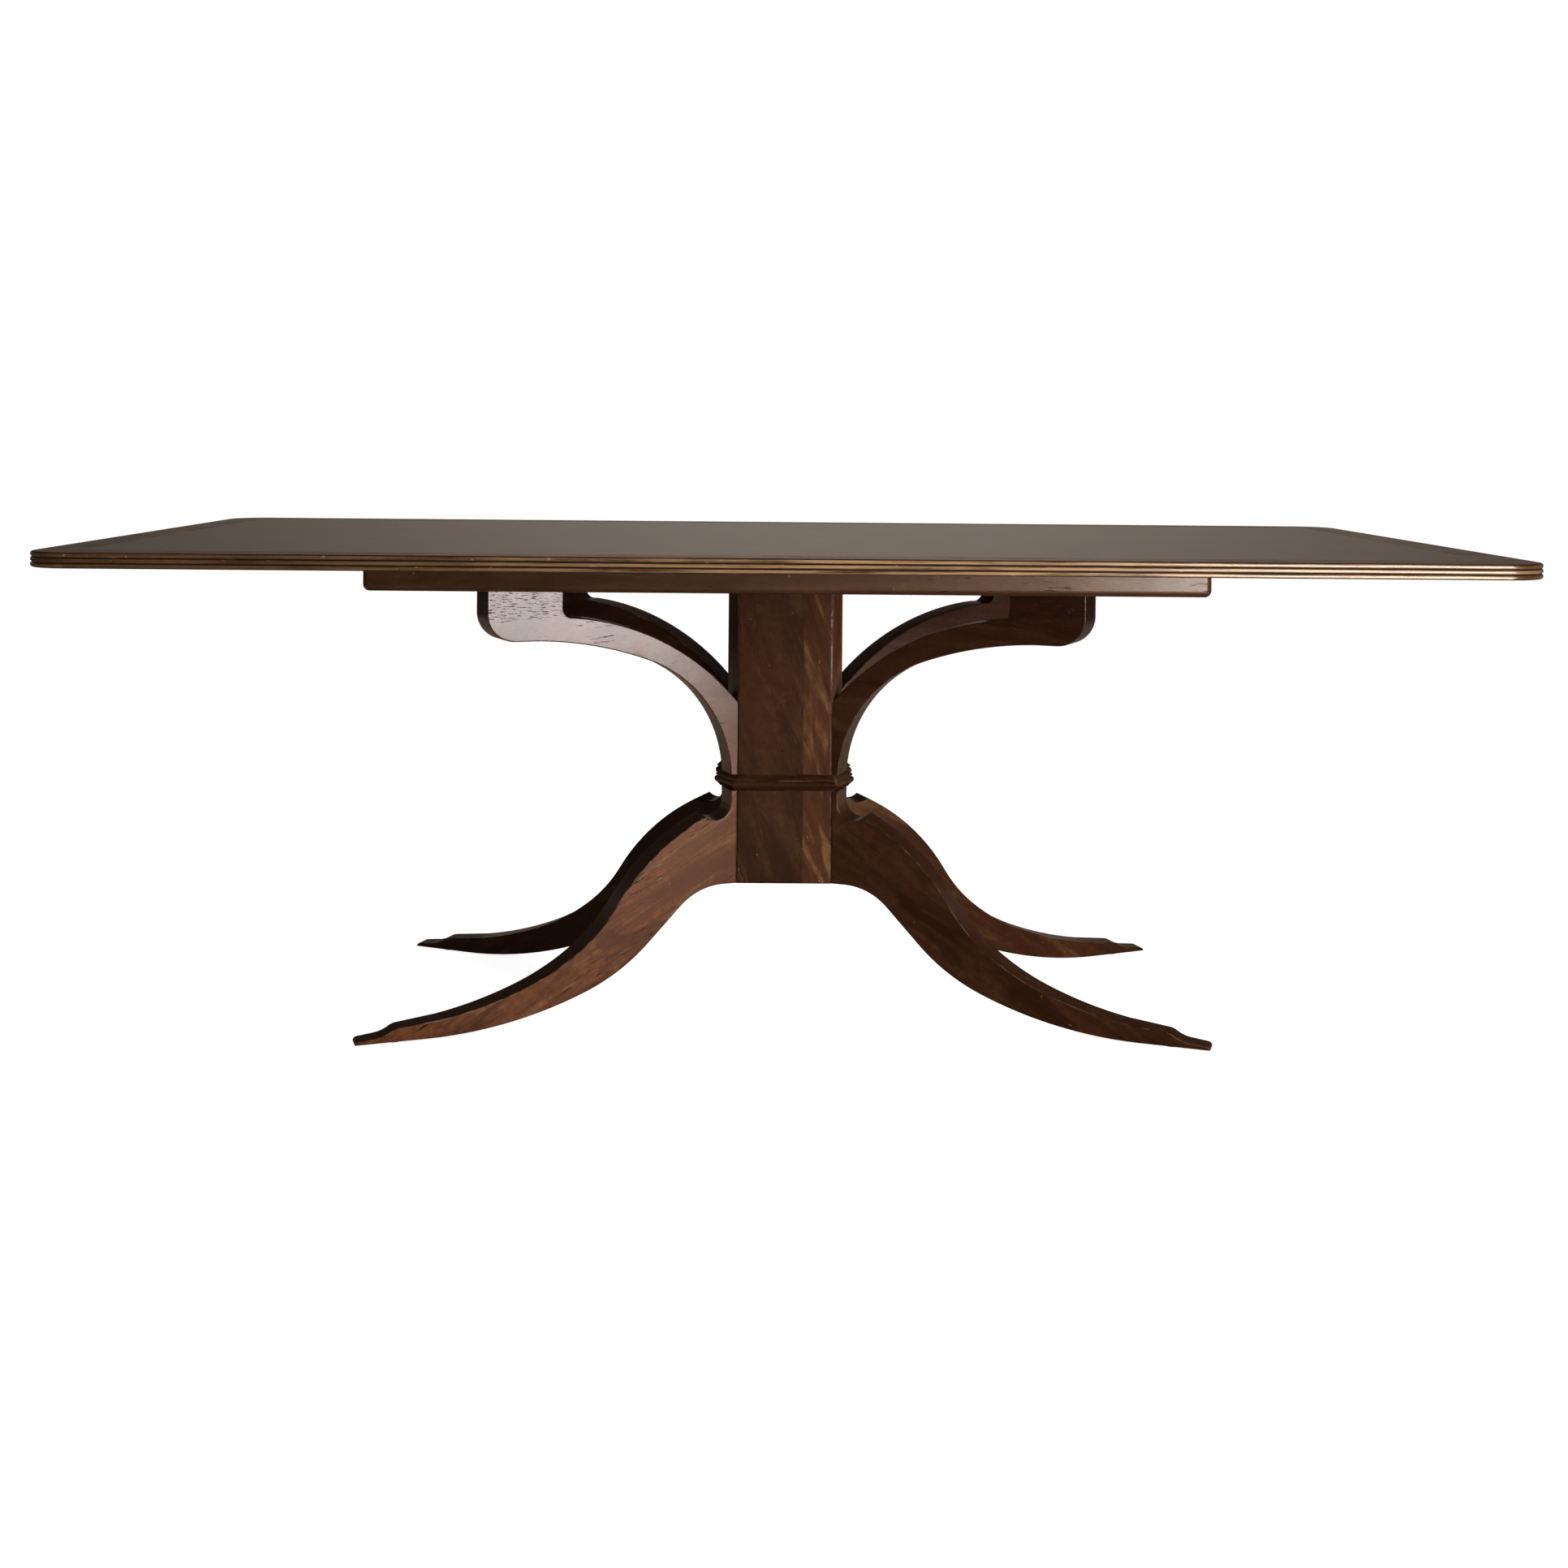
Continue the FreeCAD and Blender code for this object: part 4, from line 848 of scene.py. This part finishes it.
@dataclass
class Column:
    """The hollow eight-sided column, its plates and its collar."""

    upright: Triple = (0.0, 90.0, 0.0)
    leaning: Triple = (0.0, 110.0, 0.0)
    joint: float = 0.05
    collar_tone: float = 0.66
    # Painted light: the front-right corner stave, turned towards the lamps, is lightened.
    corner_lit_tones: tuple[float, ...] = (2.6, 0.9, 0.9, 0.8)
    pale_figure: Colour = (0.260, 0.128, 0.046)
    bare_and_highlight_wood: Colour = (0.66, 0.50, 0.42)

    def build(self) -> None:
        """Dress the column, its collar and its plates."""
        self.dress_front()
        dress_row(("rear_stave", "right_stave", "left_stave"), BASE_WOOD,
                  Board(self.upright, (0.0, 0.3, 0.9), tone=0.95, rubbed=0.6), 0.5, 1.0)
        for count, (corner, angle) in enumerate(CORNERS.items()):
            dress(f"{corner}_stave", BASE_WOOD,
                  Board(self.upright, (0.4 * count, 1.3, 0.2 + count),
                        tone=self.corner_lit_tones[count], rubbed=0.3))
            dress(f"{corner}_collar_strip", BASE_WOOD,
                  Board((0.0, 0.0, 90.0 - angle), (0.2 * count, 0.1, 1.2), tone=self.collar_tone))
        dress_row(("front_collar_strip", "rear_collar_strip"), BASE_WOOD,
                  Board(shift=(0.0, 0.9, 0.3), tone=self.collar_tone), 0.6)
        dress_row(("right_collar_strip", "left_collar_strip"), BASE_WOOD,
                  Board(ACROSS, (0.0, 0.9, 0.5), tone=self.collar_tone), 0.3)
        dress_row(("column_foot_plate", "column_head_block", "column_head_plate"), INNER_WOOD,
                  Board(shift=(0.0, 0.2, 0.3)), 0.3)

    def dress_front(self) -> None:
        """Dress the two boards of the front face, the narrow one paler and more figured, with a
        pale edge that is partly a painted highlight.
        """
        wide = Board(self.leaning, (0.35, 0.13, 0.07), tone=0.72, flame=0.55, shade=0.8,
                     figure=1.8, cracked=0.1, rubbed=0.3, joint=self.joint)
        # Painted highlight: the narrow stave's edges are rubbed strongly to a pale colour, fully
        # only above 0.5 m.
        narrow = Board(self.leaning, (0.0, 0.61, 0.37), tone=1.2, flame=1.0, shade=0.6,
                       figure=2.0, cracked=0.1, rubbed=3.4, worn_and_lit_above=0.5, ease=0.0040,
                       joint=self.joint)
        dress("front_wide_stave", BASE_WOOD, wide)
        dress("front_narrow_stave", replace(BASE_WOOD, name="stave_wood",
                                            light=self.pale_figure, worn=self.bare_and_highlight_wood), narrow)


@dataclass
class ArmsAndLegs:
    """The four scrolled arms with their blocks, and the four sabre legs."""

    leg_slope: float = 30.0
    arm_slope: float = -6.0
    block_slope: float = 3.0
    leg_ease: float = 0.0035
    # Painted light: the front-left arm is the lightest and the rear-left arm the darkest.
    arm_lit_tones: tuple[float, ...] = (0.8, 0.75, 0.5, 1.0)
    # Painted light: the legs' tones differ as light falls, the front-left lightened and the
    # rear-left darkened; the left legs get more painted shade on their narrow faces, and the
    # front-left's strongly rubbed edge is partly a painted highlight.
    legs: tuple[Board, ...] = (
        Board(tone=0.95, flame=0.2, shade=0.7, figure=1.0, cracked=0.15, rubbed=0.5, painted_top_shade=0.1),
        Board(tone=1.0, flame=0.7, shade=0.7, figure=1.6, cracked=0.3, rubbed=0.5, painted_top_shade=0.2),
        Board(tone=0.45, flame=0.4, shade=0.7, figure=1.3, cracked=0.2, rubbed=0.3, painted_top_shade=0.8),
        Board(tone=2.3, flame=0.6, shade=1.0, figure=2.8, cracked=0.5, rubbed=2.0, painted_top_shade=0.95),
    )

    def build(self) -> None:
        """Dress the boards, each with its grain along its own length."""
        for count, (corner, angle) in enumerate(CORNERS.items()):
            way = math.radians(angle)
            cheek = (-math.sin(way), math.cos(way), 0.0)
            dress(f"{corner}_leg", BASE_WOOD,
                  replace(self.legs[count], turn=self.along(angle, -self.leg_slope),
                          shift=(0.7 * count, 0.5, count), ease=self.leg_ease, cheek=cheek))
            tone = self.arm_lit_tones[count]
            dress(f"{corner}_arm", ARM_WOOD,
                  Board(self.along(angle, self.arm_slope), (0.6 * count, 0.2, count),
                        tone=tone, cracked=0.4, eased=False, cheek=cheek))
            dress(f"{corner}_arm_block", ARM_WOOD,
                  Board(self.along(angle, self.block_slope), (0.5 * count, 0.8, 0.4 + count),
                        tone=tone * 0.75, cracked=1.35, crack_size=0.4, eased=False,
                        cheek=cheek))

    def along(self, angle: float, slope: float) -> Triple:
        """The turn that brings a board's slope to X.

        Args:
            angle: where the board points, in degrees round the column.
            slope: how far its grain climbs, in degrees.

        Returns:
            Rotation about X, Y and Z, in degrees.
        """
        back = Matrix.Rotation(math.radians(slope), 3, "Y") @ Matrix.Rotation(
            math.radians(-angle), 3, "Z")
        return tuple(math.degrees(a) for a in back.to_euler("XYZ"))


class Slot(Enum):
    """Names for the small pieces' finishes: steel, dowel wood and felt."""

    STEEL = "steel"
    DOWEL = "dowel_wood"
    FELT = "felt"


@dataclass
class Hardware:
    """Bolts, washers, screws, dowels and pads, each kind set out by its own tree."""

    bolt_heights: Pair = (0.238, 0.296)
    bolt_seat: Pair = (0.05817, 0.04618)
    bolt_shank: float = 0.004
    bolt_length: float = 0.080
    bolt_head: float = 0.0075
    bolt_head_height: float = 0.0055
    washer_radius: float = 0.008
    washer_height: float = 0.002
    dowel_heights: Pair = (0.44588, 0.47774)
    dowel_middle: Pair = (0.08555, 0.06451)
    dowel_radius: float = 0.005
    dowel_length: float = 0.032
    pad_place: Pair = (0.59721, 0.25074)
    pad_radius: float = 0.012
    pad_height: float = 0.002
    screw_head: float = 0.005
    screw_head_height: float = 0.003
    rail_seats: tuple[Pair, ...] = ((0.17869, 0.331), (0.53869, 0.331))
    plate_seat: Pair = (0.138, 0.113)
    block_seat: Pair = (0.03205, 0.03573)
    bearer_seats: tuple[Pair, ...] = ((0.39452, 0.17696), (0.44087, 0.19383))
    rail_seat_height: float = 0.720
    plate_seat_height: float = 0.718
    sunk_seat_height: float = 0.737
    flipped: Triple = (math.pi, 0.0, 0.0)

    def build(self) -> None:
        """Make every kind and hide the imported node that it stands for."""
        self.make_bolts()
        self.make_washers()
        self.make_dowels()
        self.make_pads()
        sunk = self.sunk_seat_height
        tops = [(x, y, self.rail_seat_height) for x, y in self.rail_seats]
        tops.append((*self.plate_seat, self.plate_seat_height))
        bearers = [(x, y, sunk) for x, y in self.bearer_seats]
        self.make_screws("top_screws", tops, ORIGIN, 0.0025, 0.034)
        self.make_screws("head_plate_screws", [(*self.block_seat, sunk)], self.flipped,
                         0.0025, 0.030)
        self.make_screws("bearer_screws", bearers, self.flipped, 0.003, 0.115)

    def set_out(self, works: Works, name: str, node: str, places: list[Place],
                finish: Finish, slot: Slot) -> None:
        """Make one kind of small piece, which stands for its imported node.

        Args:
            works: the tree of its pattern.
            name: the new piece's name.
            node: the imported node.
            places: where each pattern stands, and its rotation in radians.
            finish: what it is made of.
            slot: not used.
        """
        piece = works.set_out(name, places, finish.material(node, Board(eased=False)))
        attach(piece, "root")
        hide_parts(node)

    def quarters(self, spot: Triple, turn: Triple) -> list[Place]:
        """Repeat a place in all four quarters of the plan, with the same turn."""
        return [((spot[0] * a, spot[1] * b, spot[2]), turn) for a in (-1, 1) for b in (-1, 1)]

    def corners(self, spot: Pair, heights: tuple[float, ...]) -> list[Place]:
        """Repeat a place at the four splayed corners, pointing outwards.

        Args:
            spot: distances along X and Y.
            heights: distances above the floor.

        Returns:
            The places with their rotations.
        """
        found = []
        for way in map(math.radians, CORNERS.values()):
            x = math.copysign(spot[0], math.cos(way))
            y = math.copysign(spot[1], math.sin(way))
            found += [((x, y, height), (0.0, math.pi / 2, way)) for height in heights]
        return found

    def make_bolts(self) -> None:
        """Make the hexagon bolts that hold the legs, from inside the column."""
        works = Works("hexagon_bolt", {
            "Shank radius": self.bolt_shank, "Length": self.bolt_length,
            "Head radius": self.bolt_head, "Head height": self.bolt_head_height,
            "Rim": 0.0008, "Thread start": 0.030, "Pitch": 0.00125})
        head = works.rod(6, 6, "Head radius", "Head height", "Rim")
        head = works.move(head, 0.0, (math.pi, 0.0, math.pi / 2))
        core = works.calc("SUBTRACT", "Shank radius", 0.0004)
        shank = works.rod(24, 40, core, "Length", "Rim")
        plain = works.rod(24, 1, "Shank radius", "Thread start")
        high = works.calc("SUBTRACT", "Length", 0.002)
        thread = works.thread(core, "Thread start", high, 0.0004)
        works.close(works.join(head, shank, plain, thread))
        self.set_out(works, "leg_bolt_set", "leg_bolts",
                     self.corners(self.bolt_seat, self.bolt_heights), STEEL, Slot.STEEL)

    def make_washers(self) -> None:
        """Make the flat washers under the bolt heads."""
        works = Works("flat_washer", {"Radius": self.washer_radius, "Hole": self.bolt_shank + 3e-4,
                                      "Height": self.washer_height, "Rim": 0.0002})
        disc = works.rod(40, 4, "Radius", "Height", "Rim", both=True)
        hole = works.rod(40, 1, "Hole", works.times("Height", 3.0))
        hole = works.move(hole, works.times("Height", -1.0))
        works.close(works.cut(disc, hole))
        self.set_out(works, "leg_washer_set", "leg_bolt_washers",
                     self.corners(self.bolt_seat, self.bolt_heights), STEEL, Slot.STEEL)

    def make_dowels(self) -> None:
        """Make the fluted dowels between the arms and the column."""
        works = Works("fluted_dowel", {"Radius": self.dowel_radius, "Length": self.dowel_length,
                                       "Rim": 0.0009})
        rod = works.rod(64, 24, "Radius", "Length", "Rim", both=True, flutes=0.06)
        works.close(works.move(rod, works.times("Length", -0.5)))
        self.set_out(works, "arm_dowel_set", "arm_dowels",
                     self.corners(self.dowel_middle, self.dowel_heights), DOWEL_WOOD, Slot.DOWEL)

    def make_pads(self) -> None:
        """Make the felt discs under the feet."""
        works = Works("felt_pad", {"Radius": self.pad_radius, "Height": self.pad_height,
                                   "Rim": 0.0004})
        works.close(works.rod(48, 6, "Radius", "Height", "Rim", both=True))
        self.set_out(works, "foot_pad_set", "foot_pads",
                     self.quarters((*self.pad_place, 0.0), ORIGIN), FELT, Slot.FELT)

    def make_screws(self, node: str, seats: list[Triple], turn: Triple, shank: float,
                    length: float) -> None:
        """Make one kind of slotted wood screw.

        Args:
            node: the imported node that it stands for.
            seats: undersides of the heads in the first quarter of the plan.
            turn: which way the screws point.
            shank: radius over the thread.
            length: from the head's underside to the point.
        """
        works = Works(f"slotted_{node}", {
            "Shank radius": shank, "Length": length, "Head radius": self.screw_head,
            "Head height": self.screw_head_height, "Rim": 0.0007, "Slot width": 0.0013,
            "Slot depth": 0.0016, "Pitch": 0.0022, "Point": 0.006})
        head = works.rod(40, 5, "Head radius", "Head height", "Rim")
        bar = works.make("ShaderNodeCombineXYZ", {
            0: "Slot width", 1: works.times("Head radius", 3.0),
            2: works.times("Slot depth", 2.0)})
        bar = works.make("GeometryNodeMeshCube", {"Size": bar}, "Mesh")
        head = works.cut(head, works.move(bar, "Head height"))
        head = works.move(head, 0.0, self.flipped)
        core = works.calc("SUBTRACT", "Shank radius", 0.0006)
        straight = works.calc("SUBTRACT", "Length", "Point")
        shaft = works.rod(20, 1, core, straight)
        point = works.make("GeometryNodeMeshCone", {
            "Vertices": 20, "Radius Top": 0.0001, "Radius Bottom": core,
            "Depth": "Point"}, "Mesh")
        bare = works.times("Length", 0.35)
        plain = works.rod(20, 1, "Shank radius", bare)
        thread = works.thread(core, bare, straight, 0.0006)
        works.close(works.join(head, shaft, works.move(point, straight), plain, thread))
        places = [place for seat in seats for place in self.quarters(seat, turn)]
        self.set_out(works, f"{node[:-1]}_set", node, places, STEEL, Slot.STEEL)


@dataclass
class SoftPanel:
    """A large soft lamp that faces a point, mirrored or not in polished faces."""

    name: str
    centre: Triple
    aim: Triple
    width: float
    height: float
    strength: float
    mirrored: bool = False

    def build(self) -> None:
        """Make the lamp."""
        lamp = bpy.data.lights.new(self.name, "AREA")
        lamp.shape = "RECTANGLE"
        lamp.size, lamp.size_y = self.width, self.height
        lamp.energy = self.strength * math.pi * self.width * self.height
        holder = stand(self.name, lamp)
        look = Vector(self.centre) - Vector(self.aim)
        holder.location = self.centre
        holder.rotation_euler = look.to_track_quat("Z", "Y").to_euler()
        holder.visible_camera = False
        holder.visible_glossy = self.mirrored


@dataclass
class Studio:
    """The floor, the world, the lamps and the camera."""

    camera_place: Triple = (-0.03409, -3.06135, 0.93342)
    camera_yaw: float = 0.0095
    camera_roll: float = 0.009
    lens: float = 42.007
    sensor: float = 36.0
    sight: float = 200.0
    shift_down: float = -0.22278
    floor_reach: float = 30.0
    lamps: list[SoftPanel] = field(default_factory=lambda: [
        SoftPanel("key_panel", (1.86, -3.56, 0.49), (0.0, 0.0, 0.49), 1.3, 0.96, 11.4, True),
        SoftPanel("upper_panel", (1.86, -3.56, 1.72), (0.0, 0.0, 1.72), 1.3, 1.5, 10.8),
        SoftPanel("side_panel", (3.4, 0.15, 0.8), (0.0, 0.0, 0.8), 1.3, 1.5, 7.0),
        SoftPanel("rear_panel", (0.0, 3.8, 1.1), (0.0, 0.0, 0.5), 3.6, 1.6, 5.0),
        SoftPanel("left_panel", (-3.6, 0.6, 0.9), (0.0, 0.0, 0.5), 1.6, 1.4, 4.5),
        SoftPanel("roof_panel", (0.0, 0.2, 3.4), (0.0, 0.0, 0.5), 3.0, 1.6, 3.2),
    ])

    def build(self) -> None:
        """Make the whole studio."""
        self.make_floor()
        self.make_world()
        for lamp in self.lamps:
            lamp.build()
        self.make_camera()

    def make_floor(self) -> None:
        """Lay a pale floor that keeps the table's soft shadow, clear from below."""
        mesh = bpy.data.meshes.new("studio_floor")
        far = self.floor_reach
        mesh.from_pydata([(-far, -far, 0), (far, -far, 0), (far, far, 0), (-far, far, 0)], [],
                         [(0, 1, 2, 3)])
        floor = stand("studio_floor", mesh)
        made = bpy.data.materials.new("pale_floor")
        tree = Tree(made)
        away = tree.vector("LENGTH", tree.make("ShaderNodeTexCoord", out="Object"))
        seen = tree.make("ShaderNodeLightPath", out="Is Camera Ray")
        lit = tree.make("ShaderNodeBsdfDiffuse", {"Color": rgba((5.0, 5.0, 5.0))})
        white = tree.make("ShaderNodeEmission", {"Color": rgba(WHITE)})
        shown = tree.mix(tree.band(away, 0.6, 2.2, 0.14, 0.0), white, lit)
        dull = tree.make("ShaderNodeBsdfDiffuse", {"Color": rgba((0.17, 0.13, 0.10))})
        shine = tree.make("ShaderNodeBsdfGlossy", {"Color": rgba((0.27, 0.165, 0.12)),
                                                   "Roughness": 0.28})
        both = tree.mix(seen, tree.make("ShaderNodeAddShader", {0: dull, 1: shine}), shown)
        under = tree.make("ShaderNodeNewGeometry", out="Backfacing")
        both = tree.mix(under, both, tree.make("ShaderNodeBsdfTransparent"))
        tree.add("ShaderNodeOutputMaterial", {"Surface": both})
        mesh.materials.append(made)

    def make_world(self) -> None:
        """White behind the table for the camera, a dim studio for all other light."""
        world = bpy.data.worlds.new("studio")
        bpy.context.scene.world = world
        tree = Tree(world)
        way = tree.make("ShaderNodeTexCoord", out="Generated")
        side, ahead, high = (tree.axis(way, number) for number in range(3))
        middle = tree.times(tree.band(side, -0.42, 0.03), tree.band(side, 0.5, 0.08))
        low = tree.times(tree.band(ahead, 0.2, 0.6), tree.band(high, 0.20, 0.11))
        room = tree.plus(tree.times(middle, 0.155), 0.067)
        glow = tree.plus(tree.times(low, room), tree.band(high, 0.1, 0.6, 0.018, 0.009))
        dim = tree.make("ShaderNodeBackground", {"Color": rgba((1.0, 0.84, 0.70)),
                                                 "Strength": glow})
        white = tree.make("ShaderNodeBackground", {"Color": rgba(WHITE), "Strength": 1.0})
        seen = tree.make("ShaderNodeLightPath", out="Is Camera Ray")
        tree.add("ShaderNodeOutputWorld", {"Surface": tree.mix(seen, dim, white)})

    def make_camera(self) -> None:
        """Set the camera where the photograph was taken from."""
        data = bpy.data.cameras.new("camera")
        data.lens, data.sensor_width, data.sensor_fit = self.lens, self.sensor, "HORIZONTAL"
        data.shift_y, data.clip_end = self.shift_down, self.sight
        camera = stand("camera", data)
        yaw, roll, up = self.camera_yaw, self.camera_roll, Vector((0.0, 0.0, 1.0))
        ahead = Vector((math.sin(yaw), math.cos(yaw), 0.0))
        level = Vector((math.cos(yaw), -math.sin(yaw), 0.0))
        right = level * math.cos(roll) + up * math.sin(roll)
        top = up * math.cos(roll) - level * math.sin(roll)
        pose = Matrix((right, top, -ahead)).transposed().to_4x4()
        pose.translation = Vector(self.camera_place)
        camera.matrix_world = pose
        bpy.context.scene.camera = camera


def main() -> None:
    """Dress the table and set the studio up round it."""
    logging.basicConfig(level=logging.INFO, format="%(message)s")
    for part in (TableTop(), SubFrame(), Column(), ArmsAndLegs(), Hardware(), Studio()):
        part.build()
        LOG.info("made %s", type(part).__name__)
    bpy.context.scene.view_settings.view_transform = "Standard"


if __name__ == "__main__":
    main()
